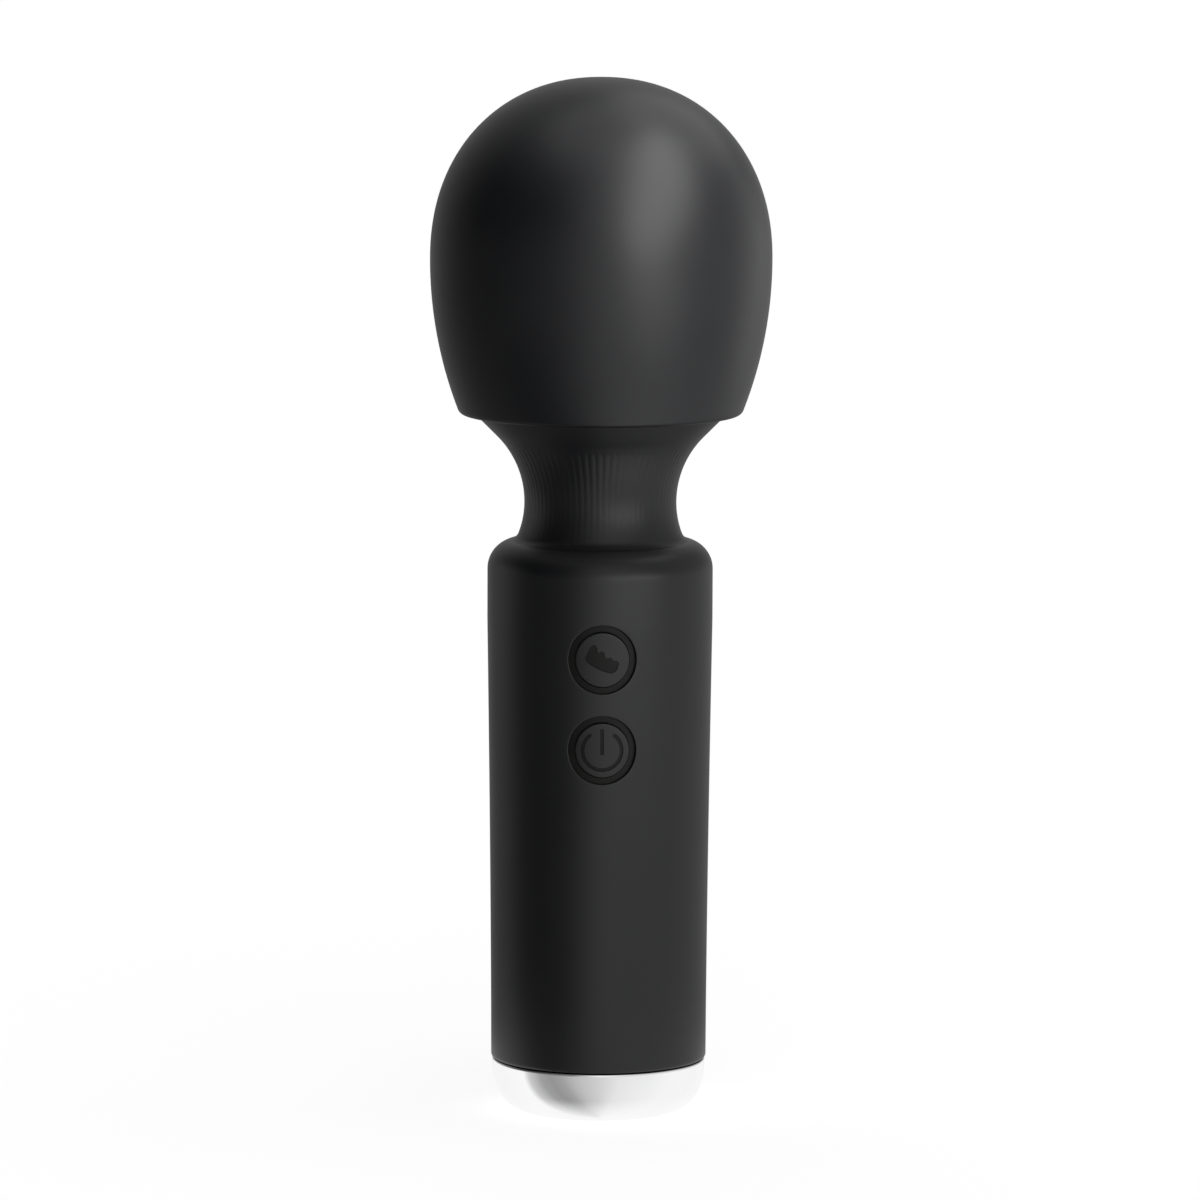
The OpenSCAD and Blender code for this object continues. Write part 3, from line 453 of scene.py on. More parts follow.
def fluteTree():
    tree = bpy.data.node_groups.new("pressFlutes", "GeometryNodeTree")
    for way in ("OUTPUT", "INPUT"):
        tree.interface.new_socket("Geometry", in_out=way, socket_type="NodeSocketGeometry")
    names = ("Flutes", "Flute Depth", "Sharpness", "Foot Share", "Lowest", "Highest", "Fade", "Softness",
             "Wall Radius")
    kinds = {name: "NodeSocketFloat" for name in names}
    kinds["Finish"] = "NodeSocketMaterial"
    sockets = {name: tree.interface.new_socket(name, in_out="INPUT", socket_type=kind).identifier
               for name, kind in kinds.items()}

    def maths(operation, *values):
        return addNode(tree, "ShaderNodeMath", dict(enumerate(values)), operation=operation).outputs[0]

    given = addNode(tree, "NodeGroupInput", {}).outputs
    place = addNode(tree, "GeometryNodeInputPosition", {})
    x, y, z = addNode(tree, "ShaderNodeSeparateXYZ", {0: place.outputs[0]}).outputs
    radius = maths("SQRT", maths("ADD", maths("MULTIPLY", x, x), maths("MULTIPLY", y, y)))
    wave = maths("COSINE", maths("MULTIPLY", maths("ARCTAN2", x, y), given["Flutes"]))
    groove = maths("POWER", maths("MULTIPLY_ADD", wave, 0.5, 0.5), given["Sharpness"])
    above = maths("DIVIDE", maths("SUBTRACT", z, given["Lowest"]), given["Fade"])
    below = maths("DIVIDE", maths("SUBTRACT", given["Highest"], z), given["Fade"])
    between = maths("MINIMUM", maths("MAXIMUM", above, 0.0), maths("MAXIMUM", below, 0.0))
    mask = maths("SMOOTH_MIN", between, 1.0, given["Softness"])
    outside = maths("GREATER_THAN", radius, given["Wall Radius"])
    taper = {"Value": z, "From Min": given["Lowest"], "From Max": given["Highest"],
             "To Min": given["Foot Share"]}
    share = addNode(tree, "ShaderNodeMapRange", taper, interpolation_type="SMOOTHSTEP").outputs["Result"]
    full = maths("MULTIPLY", share, given["Flute Depth"])
    depth = maths("MULTIPLY", maths("MULTIPLY", groove, mask), maths("MULTIPLY", outside, full))
    scale = maths("DIVIDE", maths("MULTIPLY", depth, -1.0), radius)
    inwards = {0: maths("MULTIPLY", x, scale), 1: maths("MULTIPLY", y, scale)}
    shift = addNode(tree, "ShaderNodeCombineXYZ", inwards).outputs[0]
    move = addNode(tree, "GeometryNodeSetPosition", {"Geometry": given["Geometry"], "Offset": shift})
    real = addNode(tree, "GeometryNodeRealizeInstances", {0: move.outputs[0]})
    finish = {"Geometry": real.outputs[0], "Material": given["Finish"]}
    finished = addNode(tree, "GeometryNodeSetMaterial", finish)
    addNode(tree, "NodeGroupOutput", {0: finished.outputs[0]})
    return tree, sockets


def pressFlutes(piece):
    tree, sockets = fluteTree()
    modifier = piece.modifiers.new("flutes", "NODES")
    modifier.node_group = tree
    values = {
        "Flutes": float(neckSet["flutes"]),
        "Flute Depth": neckSet["fluteDepth"],
        "Sharpness": neckSet["fluteSharpness"],
        "Foot Share": neckSet["footShare"],
        "Lowest": creaseZ + neckSet["fillet"],
        "Highest": lipZ - neckSet["collar"],
        "Fade": neckSet["fade"],
        "Softness": neckSet["fadeSoftness"],
        "Wall Radius": neckSet["coreR"] + neckSet["skinFrom"],
        "Finish": silicone,
    }
    for name, value in values.items():
        modifier[sockets[name]] = value
    bpy.context.view_layer.update()
    pressed = bpy.data.meshes.new_from_object(piece.evaluated_get(bpy.context.evaluated_depsgraph_get()))
    piece.modifiers.remove(modifier)
    piece.data = pressed


def makeNeckHalf(name, low, high):
    steps = neckSet["levels"]
    levels = [low + (high - low) * i / steps for i in range(steps + 1)]
    outline = [(neckRadius(z), z) for z in levels]
    outline += [(neckSet["coreR"], z) for z in levels[::-neckSet["innerEvery"]]]
    if outline[-1][1] > low:
        outline.append((neckSet["coreR"], low))
    piece = meshPiece(name, *turned(outline, neckSet["flutes"] * neckSet["stepsPerFlute"]), [silicone])
    pressFlutes(piece)
    return bentPiece(piece, "neck_sleeve")


neckLower = makeNeckHalf("neckLower", creaseZ - neckSet["tuck"], halfwayZ)
neckUpper = makeNeckHalf("neckUpper", halfwayZ, lipZ + neckSet["tuck"])


# the rubber core is made in two halves that meet where the neck's halves meet, and has a flange at each far
# end
coreSet = {
    "flangeHeight": 2.2 * mm,
    "bore": 3 * mm,
    "clearance": 0.1 * mm,
    "levels": 16,
    "columns": 64,
}
coreLow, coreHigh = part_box("neck_core")


def makeCore(name, half, low, high):
    flange, flangeHeight, levels = coreHigh.x, coreSet["flangeHeight"], coreSet["levels"]
    radius = neckSet["coreR"] - coreSet["clearance"]
    outline = [(coreSet["bore"], z) for z in (high, (low + high) / 2, low)]
    if half == "lower":
        foot = low + flangeHeight
        outline += [(flange, low), (flange, foot), (radius, foot)]
        outline += [(radius, foot + (high - low - flangeHeight) * i / levels) for i in range(1, levels + 1)]
    else:
        outline += [(radius, low + (high - low - flangeHeight) * i / levels) for i in range(levels + 1)]
        outline += [(flange, high - flangeHeight), (flange, high)]
    piece = meshPiece(name, *turned(outline, coreSet["columns"]), [slotFinish["soft_rubber"]])
    bentPiece(piece, "neck_core")


makeCore("coreLower", "lower", coreLow.z, halfwayZ)
makeCore("coreUpper", "upper", halfwayZ, coreHigh.z)


# the motor's two leads run up through the core
leadSet = {
    "radius": 0.5 * mm,
    "apart": 1.2 * mm,       # from the axis to each lead
    "turnY": -3 * mm,        # where a lead has come off the board and turns up
    "turnRise": 2.4 * mm,
    "coreY": 0.2 * mm,
    "topY": 0.1 * mm,
    "beyond": 3 * mm,        # outside each end of the neck, where a lead's next point is
    "steps": 10,
    "sides": 12,
    "endShrink": 0.6,
    "sharpAngle": 60,
}


def tube(path, radius, sides):
    # a closed tube along a path, with its two ends drawn in
    points, faces = [], []
    last = len(path) - 1
    for i, spot in enumerate(path):
        along = (path[min(last, i + 1)] - path[max(0, i - 1)]).normalized()
        steep = abs(along.z) > 0.5
        side = (along.cross(Vector((0, 1, 0))) if steep else along.orthogonal()).normalized()
        other = along.cross(side)
        shrink = leadSet["endShrink"] if i in (0, last) else 1.0
        for k in range(sides):
            a = 2 * math.pi * k / sides
            points.append(spot + radius * shrink * (math.cos(a) * side + math.sin(a) * other))
    for i in range(last):
        for k in range(sides):
            n = (k + 1) % sides
            faces.append((i * sides + k, i * sides + n, (i + 1) * sides + n, (i + 1) * sides + k))
    faces += [tuple(range(sides)), tuple(last * sides + k for k in range(sides))]
    return points, faces


def curvedPath(knots, steps):
    padded = [knots[0]] + knots + [knots[-1]]
    return smoothCurve([padded[i:i + 4] for i in range(len(knots) - 1)], steps) + [knots[-1]]


def makeLeads():
    low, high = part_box("motor_leads")
    radius, beyond = leadSet["radius"], leadSet["beyond"]
    for side, ending in ((-1, "Left"), (1, "Right")):
        x = side * leadSet["apart"]
        middle = Vector((x, leadSet["coreY"], halfwayZ))
        knots = {
            "lower": [Vector((x, low.y + radius, low.z + radius)),
                      Vector((x, leadSet["turnY"], low.z + leadSet["turnRise"])),
                      Vector((x, leadSet["coreY"], creaseZ - beyond)), middle],
            "upper": [middle, Vector((x, leadSet["topY"], lipZ + beyond)),
                      Vector((side * (high.x - radius), 0, high.z - radius))],
        }
        for half, name in (("lower", "leadLower"), ("upper", "leadUpper")):
            shape = tube(curvedPath(knots[half], leadSet["steps"]), radius, leadSet["sides"])
            finish = [slotFinish["lead_sheath"]]
            piece = meshPiece(name + ending, *shape, finish, sharpAngle=leadSet["sharpAngle"])
            bentPiece(piece, "motor_leads")


makeLeads()
print("neck made")


# the grip sleeve is a turned skin, with patches where the keys and the charging hole are
gripSet = {
    "radius": sleeveHigh.x,
    "footRadius": 14.57 * mm,
    "taper": 1.5,            # power by which the grip widens from the foot
    "straight": 10.7 * mm,   # from the crease down to where the taper starts
    "shoulder": 3.9 * mm,
    "shoulderSteps": 24,
    "innerSteps": 10,
    "hem": 0.45 * mm,
    "hemSteps": 10,
    "wall": 1.2 * mm,
    "openTop": 8.4 * mm,
    "columns": 180,
    "levelEvery": 0.5 * mm,
}
keySet = {
    "radius": 3.66 * mm,     # measured along the skin
    "ring": 4.62 * mm,
    "ringDepth": 0.45 * mm,
    "ringShares": (0.35, 0.7, 1.0),
    "gap": 0.14 * mm,
    "edge": 0.12 * mm,
    "edgeAngles": (0, 22, 45, 68, 90),
    "thick": 0.75 * mm,
    "backRing": 0.5,         # share of the radius where the key's back has one more ring
    "signDepth": 0.16 * mm,
    "patchHalf": 5.5 * mm,
    "patchColumns": 11,      # columns on each side that the patch takes up
    "sides": 96,
    "grid": 0.22 * mm,       # spacing of the points across the face
    "gridRow": 0.87,         # rows stand closer than the points in them
    "rimClear": 0.1 * mm,
    "signClear": 0.07 * mm,
}
jackSet = {
    "mouth": 1.7 * mm,
    "edge": 0.35 * mm,
    "patchHalf": 3 * mm,
    "patchColumns": 6,
}
patchShares = (0.2, 0.4, 0.6, 0.8)   # rings between a patch's border and its mouth
innerShare = 0.5                     # and the one on the wall's inside
edgeSteps = 6
skinFace, etchedFace = 0, 1          # places in the sleeve's and the keys' lists of finishes
modeZ = middleZ("mode_key")
powerZ = middleZ("power_key")
jackZ = middleZ("charge_jack")


def gripRadius(z):
    span = creaseZ - gripSet["straight"] - sleeveLow.z
    rise = min(1.0, max(0.0, (z - sleeveLow.z) / span))
    return gripSet["footRadius"] + (gripSet["radius"] - gripSet["footRadius"]) * rise ** gripSet["taper"]


def skinPoint(angle, z, depth):
    radius = gripRadius(z) - depth
    return (radius * math.sin(angle), -radius * math.cos(angle), z)


def levelsBetween(low, high, most):
    steps = max(1, math.ceil((high - low) / most))
    return [low + (high - low) * i / steps for i in range(steps)]


def rolledEdge(radius, edge):
    # the skin rolls in over a quarter round: (radius, depth, finish)
    angles = [math.radians(90 * i / edgeSteps) for i in range(edgeSteps + 1)]
    return [(radius + edge * (1 - math.sin(t)), edge * (1 - math.cos(t)), skinFace) for t in angles]


def keyHole():
    edge, ring, deep = keySet["edge"], keySet["ring"], keySet["ringDepth"]
    mouth = keySet["radius"] + keySet["gap"]
    profile = rolledEdge(ring, edge)
    profile += [(ring, deep - edge / 2, etchedFace), (ring - edge / 2, deep, etchedFace)]
    profile += [(ring + (mouth - ring) * s, deep, etchedFace) for s in keySet["ringShares"]]
    return mouth, profile, etchedFace


def jackHole():
    return jackSet["mouth"], rolledEdge(jackSet["mouth"], jackSet["edge"]), skinFace


def makeSleeve():
    columns, wall = gripSet["columns"], gripSet["wall"]
    turn = 2 * math.pi / columns
    holes = [   # level, middle column, sizes, and mouth, profile and finish of the hole's side
        (modeZ, 0, keySet, keyHole()),
        (powerZ, 0, keySet, keyHole()),
        (jackZ, columns // 2, jackSet, jackHole()),
    ]
    hemTop = sleeveLow.z + gripSet["hem"]
    shoulderZ = creaseZ - gripSet["shoulder"]
    marks = [z + s * size["patchHalf"] for z, _, size, _ in holes for s in (-1, 1)]
    marks = sorted([hemTop, shoulderZ] + marks)
    rows = []
    for low, high in zip(marks, marks[1:]):
        rows += levelsBetween(low, high, gripSet["levelEvery"])
    rows.append(shoulderZ)
    foot = (gripRadius(hemTop) - gripSet["hem"], hemTop)
    hem = arcPoints(foot, gripSet["hem"], -90, 0, gripSet["hemSteps"])[:-1]
    bend = (gripSet["radius"] - gripSet["shoulder"], shoulderZ)
    shoulder = arcPoints(bend, gripSet["shoulder"], 0, 90, gripSet["shoulderSteps"])[1:]
    innerShoulder = arcPoints(bend, gripSet["shoulder"] - wall, 90, 0, gripSet["innerSteps"])[:-1]
    opening = [(gripSet["openTop"], creaseZ), (gripSet["openTop"], creaseZ - wall)]
    above = shoulder + opening + innerShoulder
    outline = (hem + [(gripRadius(z), z) for z in rows] + above
               + [(gripRadius(z) - wall, z) for z in rows[::-1]]
               + [(gripRadius(sleeveLow.z) - wall, sleeveLow.z)])
    points = []
    for radius, height in outline:
        for i in range(columns):
            points.append((radius * math.sin(turn * i), -radius * math.cos(turn * i), height))
    outerStart = len(hem)
    innerStart = len(hem) + len(rows) + len(above)

    def outerVertex(row, column):
        return (outerStart + row) * columns + column % columns

    def innerVertex(row, column):
        return (innerStart + len(rows) - 1 - row) * columns + column % columns

    def rowAt(z):
        return min(range(len(rows)), key=lambda i: abs(rows[i] - z))

    cut = set()      # cells of the skin that a patch takes the place of
    patches = []
    for z, column, size, hole in holes:
        low, high = rowAt(z - size["patchHalf"]), rowAt(z + size["patchHalf"])
        left, right = column - size["patchColumns"], column + size["patchColumns"]
        patches.append((z, turn * column, low, high, left, right, hole))
        cut |= {(row, c % columns) for row in range(low, high) for c in range(left, right)}
    faces, finishes = [], []
    for j in range(len(outline)):
        following = (j + 1) % len(outline)
        innerRow = len(rows) - 2 - (j - innerStart)
        for i in range(columns):
            inWall = innerStart <= j < innerStart + len(rows) - 1 and (innerRow, i) in cut
            if (j - outerStart, i) in cut or inWall:
                continue
            k = (i + 1) % columns
            corners = (j * columns + i, j * columns + k, following * columns + k, following * columns + i)
            faces.append(corners)
            finishes.append(skinFace)

    def bridge(first, second, finish):
        for i in range(len(first)):
            k = (i + 1) % len(first)
            faces.append((first[i], first[k], second[k], second[i]))
            finishes.append(finish)
        return second

    for z, middle, low, high, left, right, (mouth, profile, sideFinish) in patches:
        border = [(row, left) for row in range(low, high)]
        border += [(high, c) for c in range(left, right)]
        border += [(row, right) for row in range(high, low, -1)]
        border += [(low, c) for c in range(right, left, -1)]
        flat = [((c * turn - middle), rows[row] - z) for row, c in border]
        bearings = [math.atan2(dz, angle * gripRadius(z)) for angle, dz in flat]

        def addRing(radius, depth, share=1.0):
            # a ring of points, at a share of the way from the patch's border to a circle
            start = len(points)
            for (angle, dz), bearing in zip(flat, bearings):
                rise = radius * math.sin(bearing)
                across = radius * math.cos(bearing) / gripRadius(z + rise)
                if share == 1.0:
                    angle, dz = across, rise
                else:
                    angle, dz = angle + (across - angle) * share, dz + (rise - dz) * share
                points.append(skinPoint(middle + angle, z + dz, depth))
            return list(range(start, len(points)))

        last = [outerVertex(row, c) for row, c in border]
        for share in patchShares:
            last = bridge(last, addRing(profile[0][0], 0, share), skinFace)
        for radius, depth, finish in profile:
            last = bridge(last, addRing(radius, depth), finish)
        last = bridge(last, addRing(mouth, wall), sideFinish)
        last = bridge(last, addRing(mouth, wall, innerShare), skinFace)
        bridge(last, [innerVertex(row, c) for row, c in border], skinFace)

    piece = meshPiece("gripSleeve", points, faces, [silicone, etched], finishes)
    return rigidPiece(piece, "handle", "handle_sleeve")


gripSleeve = makeSleeve()
print("grip sleeve made")


# keys with pressed-in signs, whose outlines are closed and drawn from the key's middle
powerSet = {
    "outer": 2.87 * mm,
    "inner": 2.37 * mm,
    "opening": 39,           # degrees from the top to each end of the ring
    "steps": 48,
    "endSteps": 6,
    "barFrom": 2.7 * mm,
    "barTo": -0.35 * mm,
    "barRadius": 0.25 * mm,
}
modeSet = {
    "shape": [   # mm: four short lobes on a rounded back
        (-1.73, 1.56), (-1.34, 2.0), (-0.98, 2.0), (-0.74, 1.68), (-0.64, 1.1), (-0.5, 0.98), (-0.14, 1.2),
        (0.15, 1.06), (0.32, 0.7), (0.42, 0.3), (0.6, 0.24), (1.0, 0.34), (1.3, 0.2), (1.5, -0.08),
        (1.82, -0.08), (2.12, -0.25), (2.18, -0.61), (2.03, -1.15), (1.74, -1.57), (1.24, -1.77),
        (0.65, -1.7), (-0.18, -1.41), (-1.02, -0.99), (-1.77, -0.53), (-2.16, -0.15), (-2.28, 0.27),
        (-2.07, 0.85)],
    "steps": 4,
}


def circleOutline(radius, steps):
    angles = [2 * math.pi * i / steps for i in range(steps)]
    return [(radius * math.cos(a), radius * math.sin(a)) for a in angles]


def barOutline(start, end, radius, steps=8):
    heading = math.atan2(end[1] - start[1], end[0] - start[0])
    points = []
    for (x, y), quarter in ((end, -math.pi / 2), (start, math.pi / 2)):
        for i in range(steps + 1):
            a = heading + quarter + math.pi * i / steps
            points.append((x + radius * math.cos(a), y + radius * math.sin(a)))
    return points


def powerSign():
    # an open ring with a bar through its opening
    outer, inner, steps = powerSet["outer"], powerSet["inner"], powerSet["steps"]
    middle, thick = (outer + inner) / 2, (outer - inner) / 2
    start, stop = 90 + powerSet["opening"], 90 + 360 - powerSet["opening"]

    def roundEnd(tip, facing):
        turns = [facing + math.pi * i / powerSet["endSteps"] for i in range(1, powerSet["endSteps"])]
        return [(middle * math.cos(tip) + thick * math.cos(a), middle * math.sin(tip) + thick * math.sin(a))
                for a in turns]

    ring = arcPoints((0, 0), outer, start, stop, steps)
    ring += roundEnd(math.radians(stop), math.radians(stop))
    ring += arcPoints((0, 0), inner, stop, start, steps)
    ring += roundEnd(math.radians(start), math.radians(start) + math.pi)
    return [ring, barOutline((0, powerSet["barFrom"]), (0, powerSet["barTo"]), powerSet["barRadius"])]


def modeSign():
    points = [Vector((x * mm, y * mm)) for x, y in modeSet["shape"]]
    count = len(points)
    spans = [[points[(i + k - 1) % count] for k in range(4)] for i in range(count)]
    return [[tuple(p) for p in smoothCurve(spans, modeSet["steps"])]]


def insideOutline(point, outline):
    x, y = point
    hit = False
    for (ax, ay), (bx, by) in zip(outline, outline[1:] + outline[:1]):
        if (ay > y) != (by > y) and x < (bx - ax) * (y - ay) / (by - ay) + ax:
            hit = not hit
    return hit


def keyFace(top, signs):
    # a flat net of triangles over the key's face, with the signs' outlines as edges in it
    flat, edges = [], []
    for outline in [circleOutline(top, keySet["sides"])] + signs:
        start, count = len(flat), len(outline)
        flat += outline
        edges += [(start + i, start + (i + 1) % count) for i in range(count)]
    spacing = keySet["grid"]
    reach = int(top / spacing) + 1
    for i in range(-reach, reach + 1):
        for j in range(-reach, reach + 1):
            p = ((i + 0.5 * (j % 2)) * spacing, j * spacing * keySet["gridRow"])
            if math.hypot(*p) > top - keySet["rimClear"]:
                continue
            near = min(math.hypot(p[0] - q[0], p[1] - q[1]) for sign in signs for q in sign)
            if near > keySet["signClear"]:
                flat.append(p)
    found = delaunay_2d_cdt([Vector(p) for p in flat], edges, [], 1, meshSet["mergeWithin"])
    return found[0], found[2]


def makeKey(name, node, body, z, signs):
    radius, edge, sides, bottom = keySet["radius"], keySet["edge"], keySet["sides"], keySet["thick"]
    top = radius - edge
    spots, triangles = keyFace(top, signs)

    def place(p, depth):
        # the face follows the grip's own skin
        return skinPoint(p[0] / gripRadius(z + p[1]), z + p[1], depth)

    points = [place(p, 0) for p in spots]
    lowIndex = {}

    def lowered(i):
        if i not in lowIndex:
            lowIndex[i] = len(points)
            points.append(place(spots[i], keySet["signDepth"]))
        return lowIndex[i]

    faces, finishes = [], []
    owner = {}       # for each edge, whether the triangles on it lie in a sign
    for triangle in triangles:
        middle = (sum(spots[i][0] for i in triangle) / 3, sum(spots[i][1] for i in triangle) / 3)
        deep = any(insideOutline(middle, sign) for sign in signs)
        faces.append(tuple(lowered(i) for i in triangle) if deep else tuple(triangle))
        finishes.append(etchedFace if deep else skinFace)
        for a, b in ((0, 1), (1, 2), (2, 0)):
            owner.setdefault(frozenset((triangle[a], triangle[b])), []).append(deep)
    for pair, within in owner.items():
        if len(within) == 2 and within[0] != within[1]:
            a, b = tuple(pair)
            faces.append((a, b, lowered(b), lowered(a)))
            finishes.append(etchedFace)
    angles = [math.radians(a) for a in keySet["edgeAngles"]]
    profile = [(top + edge * math.sin(a), edge * (1 - math.cos(a))) for a in angles]
    profile += [(radius, bottom), (radius * keySet["backRing"], bottom)]
    last = None
    for ringRadius, depth in profile:
        ring = list(range(len(points), len(points) + sides))
        points += [place(p, depth) for p in circleOutline(ringRadius, sides)]
        if last:
            faces += [(last[i], last[(i + 1) % sides], ring[(i + 1) % sides], ring[i]) for i in range(sides)]
        last = ring
    points.append(place((0, 0), bottom))
    faces += [(last[i], last[(i + 1) % sides], len(points) - 1) for i in range(sides)]
    finishes += [skinFace] * (len(faces) - len(finishes))
    piece = meshPiece(name, points, faces, [silicone, etched], finishes)
    return rigidPiece(piece, body, node)


modeKey = makeKey("modeKey", "mode_key", "mode_button", modeZ, modeSign())
powerKey = makeKey("powerKey", "power_key", "power_button", powerZ, powerSign())
print("keys made")


# end cap: a polished bowl on a flat, with a spigot that goes up into the grip
capSet = {
    "height": 7.1 * mm,
    "radius": 14.4 * mm,
    "flatRadius": 9.5 * mm,
    "flatRing": 5 * mm,      # one more ring on the flat
    "power": 2.4,
    "steps": 48,
    "innerSteps": 16,
    "rim": 0.15 * mm,
    "rimSteps": 6,
    "wall": 1.8 * mm,
    "spigotInset": 1.8 * mm,     # from the inside of the sleeve
    "spigotTop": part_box("end_cap")[1].z,
    "innerLedge": 1.5 * mm,      # under the cap's top, where the spigot's inside ends
    "innerStart": 1.6 * mm,      # and where the bowl's inside starts
    "columns": 192,
    "sharpAngle": 50,
}


def capOutline(inset, steps):
    flat, height = capSet["flatRadius"], capSet["height"]
    quarter = quarterPoints(capSet["radius"] - flat - inset, height - inset, capSet["power"], steps)
    return [(flat + r, height - h) for r, h in quarter[::-1]]


def makeEndCap():
    rim, top, wall, spigotTop = capSet["rim"], capSet["height"], capSet["wall"], capSet["spigotTop"]
    spigot = gripSet["footRadius"] - gripSet["wall"] - capSet["spigotInset"]
    outline = [(0.0, 0.0), (capSet["flatRing"], 0.0)]
    outline += [(r, z) for r, z in capOutline(0, capSet["steps"]) if z < top - rim]
    outline += arcPoints((capSet["radius"] - rim, top - rim), rim, 0, 90, capSet["rimSteps"])
    outline += [(spigot, top), (spigot, spigotTop)]
    outline += [(spigot - wall, spigotTop), (spigot - wall, top - capSet["innerLedge"])]
    inside = capOutline(wall, capSet["innerSteps"])[::-1]
    outline += [(r, z) for r, z in inside if z < top - capSet["innerStart"]] + [(0.0, wall)]
    shape = turned(outline, capSet["columns"])
    piece = meshPiece("endCap", *shape, [chrome], sharpAngle=capSet["sharpAngle"])
    rigidPiece(piece, "handle", "end_cap")


makeEndCap()
print("end cap made")


# the surround is dark at the left and behind, and brighter in front and at the right
surroundSet = {
    # angle round the wand from the camera, counted to the right, and the surround's level there
    "low": [(-180, 0.44), (-140, 0.28), (-100, 0.11), (-65, 0.13), (-30, 0.21), (0, 0.93), (30, 0.69),
            (60, 0.74), (95, 0.67), (140, 0.44), (180, 0.44)],
    "high": [(-180, 0.44), (-140, 0.27), (-100, 0), (-65, 0), (-30, 0.08), (0, 0.75), (30, 0.65), (60, 0.38),
             (95, 0.44), (140, 0.28), (180, 0.44)],
    "deep": [(-180, 0.1), (-140, 0.13), (-100, 0.23), (-65, 0), (-30, 0.08), (0, 0.74), (30, 1.18),
             (60, 1.07), (95, 0.63), (140, 0.18), (180, 0.1)],
    "overhead": 0.25,        # the level straight above
    # the sine of the height over the horizon, where each begins and where it is full
    "highFrom": 0.0,
    "highTo": 0.2,
    "deepFrom": -0.3,
    "deepTo": -0.75,
    "overheadFrom": 0.6,
    "overheadTo": 0.95,
    "most": 1.5,             # the levels are kept as shares of this
}


def levelColour(level):
    return (level, level, level, 1)


def angleRamp(tree, turn, stops, most=1):
    ramp = addNode(tree, "ShaderNodeValToRGB", {"Fac": turn})
    ramp.color_ramp.interpolation = "LINEAR"
    band = ramp.color_ramp.elements
    while len(band) < len(stops):
        band.new(0.5)
    for element, (angle, level) in zip(band, stops):
        element.position = (angle + 180) / 360
        element.color = levelColour(level / most)
    return ramp.outputs["Color"]


def roundAngle(tree, vector):
    # 0 at the far side, 0.5 towards the camera, and 1 at the far side again
    apart = addNode(tree, "ShaderNodeSeparateXYZ", {0: vector}).outputs
    flip = addNode(tree, "ShaderNodeMath", {0: apart["Y"], 1: -1}, operation="MULTIPLY").outputs[0]
    angle = addNode(tree, "ShaderNodeMath", {0: apart["X"], 1: flip}, operation="ARCTAN2").outputs[0]
    share = {0: angle, 1: 1 / (2 * math.pi), 2: 0.5}
    return addNode(tree, "ShaderNodeMath", share, operation="MULTIPLY_ADD").outputs[0], apart["Z"]


def smoothShare(tree, value, start, end):
    span = {"Value": value, "From Min": start, "From Max": end}
    return addNode(tree, "ShaderNodeMapRange", span, interpolation_type="SMOOTHSTEP").outputs["Result"]


def mixColours(tree, share, first, second):
    colours = {"Factor": share, "A": first, "B": second}
    return addNode(tree, "ShaderNodeMix", colours, data_type="RGBA").outputs["Result"]


def mixShaders(tree, share, first, second):
    return addNode(tree, "ShaderNodeMixShader", {0: share, 1: first, 2: second}).outputs[0]


def addWorld():
    world = bpy.data.worlds.new("studio")
    bpy.context.scene.world = world
    world.use_nodes = True
    tree = world.node_tree
    tree.nodes.clear()
    where = addNode(tree, "ShaderNodeTexCoord", {}).outputs["Generated"]
    turn, height = roundAngle(tree, where)
    most = surroundSet["most"]
    level = angleRamp(tree, turn, surroundSet["low"], most)
    for end in ("high", "deep", "overhead"):
        share = smoothShare(tree, height, surroundSet[end + "From"], surroundSet[end + "To"])
        if end == "overhead":
            other = levelColour(surroundSet[end] / most)
        else:
            other = angleRamp(tree, turn, surroundSet[end], most)
        level = mixColours(tree, share, level, other)
    studio = addNode(tree, "ShaderNodeBackground", {"Color": level, "Strength": most}).outputs[0]
    white = addNode(tree, "ShaderNodeBackground", {"Color": levelColour(1)}).outputs[0]
    seen = addNode(tree, "ShaderNodeLightPath", {}).outputs["Is Camera Ray"]
    addNode(tree, "ShaderNodeOutputWorld", {"Surface": mixShaders(tree, seen, studio, white)})


# the floor is white to the camera; to reflections it is a painted reflection, a glow of grey levels near by,
# and farther off it lets the surround through
floorSet = {
    "reach": 3.0,
    # the painted reflection's glow level, as the polished cap shows it, by the same angle round a point in
    # front of the wand
    "paintedReflection": [(-180, 0.45), (-150, 0.96), (-94, 0.99), (-87, 0.6), (-73, 0.36), (-60, 0.31), (-46, 0.37),
               (-33, 0.49), (-22, 0.56), (0, 0.66), (25, 0.8), (60, 0.87), (90, 0.94), (150, 0.95),
               (180, 0.45)],
    "paintedReflectionCentre": -12 * mm,
    "paintedReflectionFrom": 42 * mm,   # a reflection longer than this starts to see past the floor
    "paintedReflectionTo": 54 * mm,
    "paintedWhiteWithin": 10 * mm,   # right under the cap the painted reflection glows white
    "paintedWhiteUntil": 18 * mm,
    "paint": 0.8,
    "rough": 0.9,
    "lift": 0.77,            # what the camera sees on top of the lit paint, so that it ends up white
}


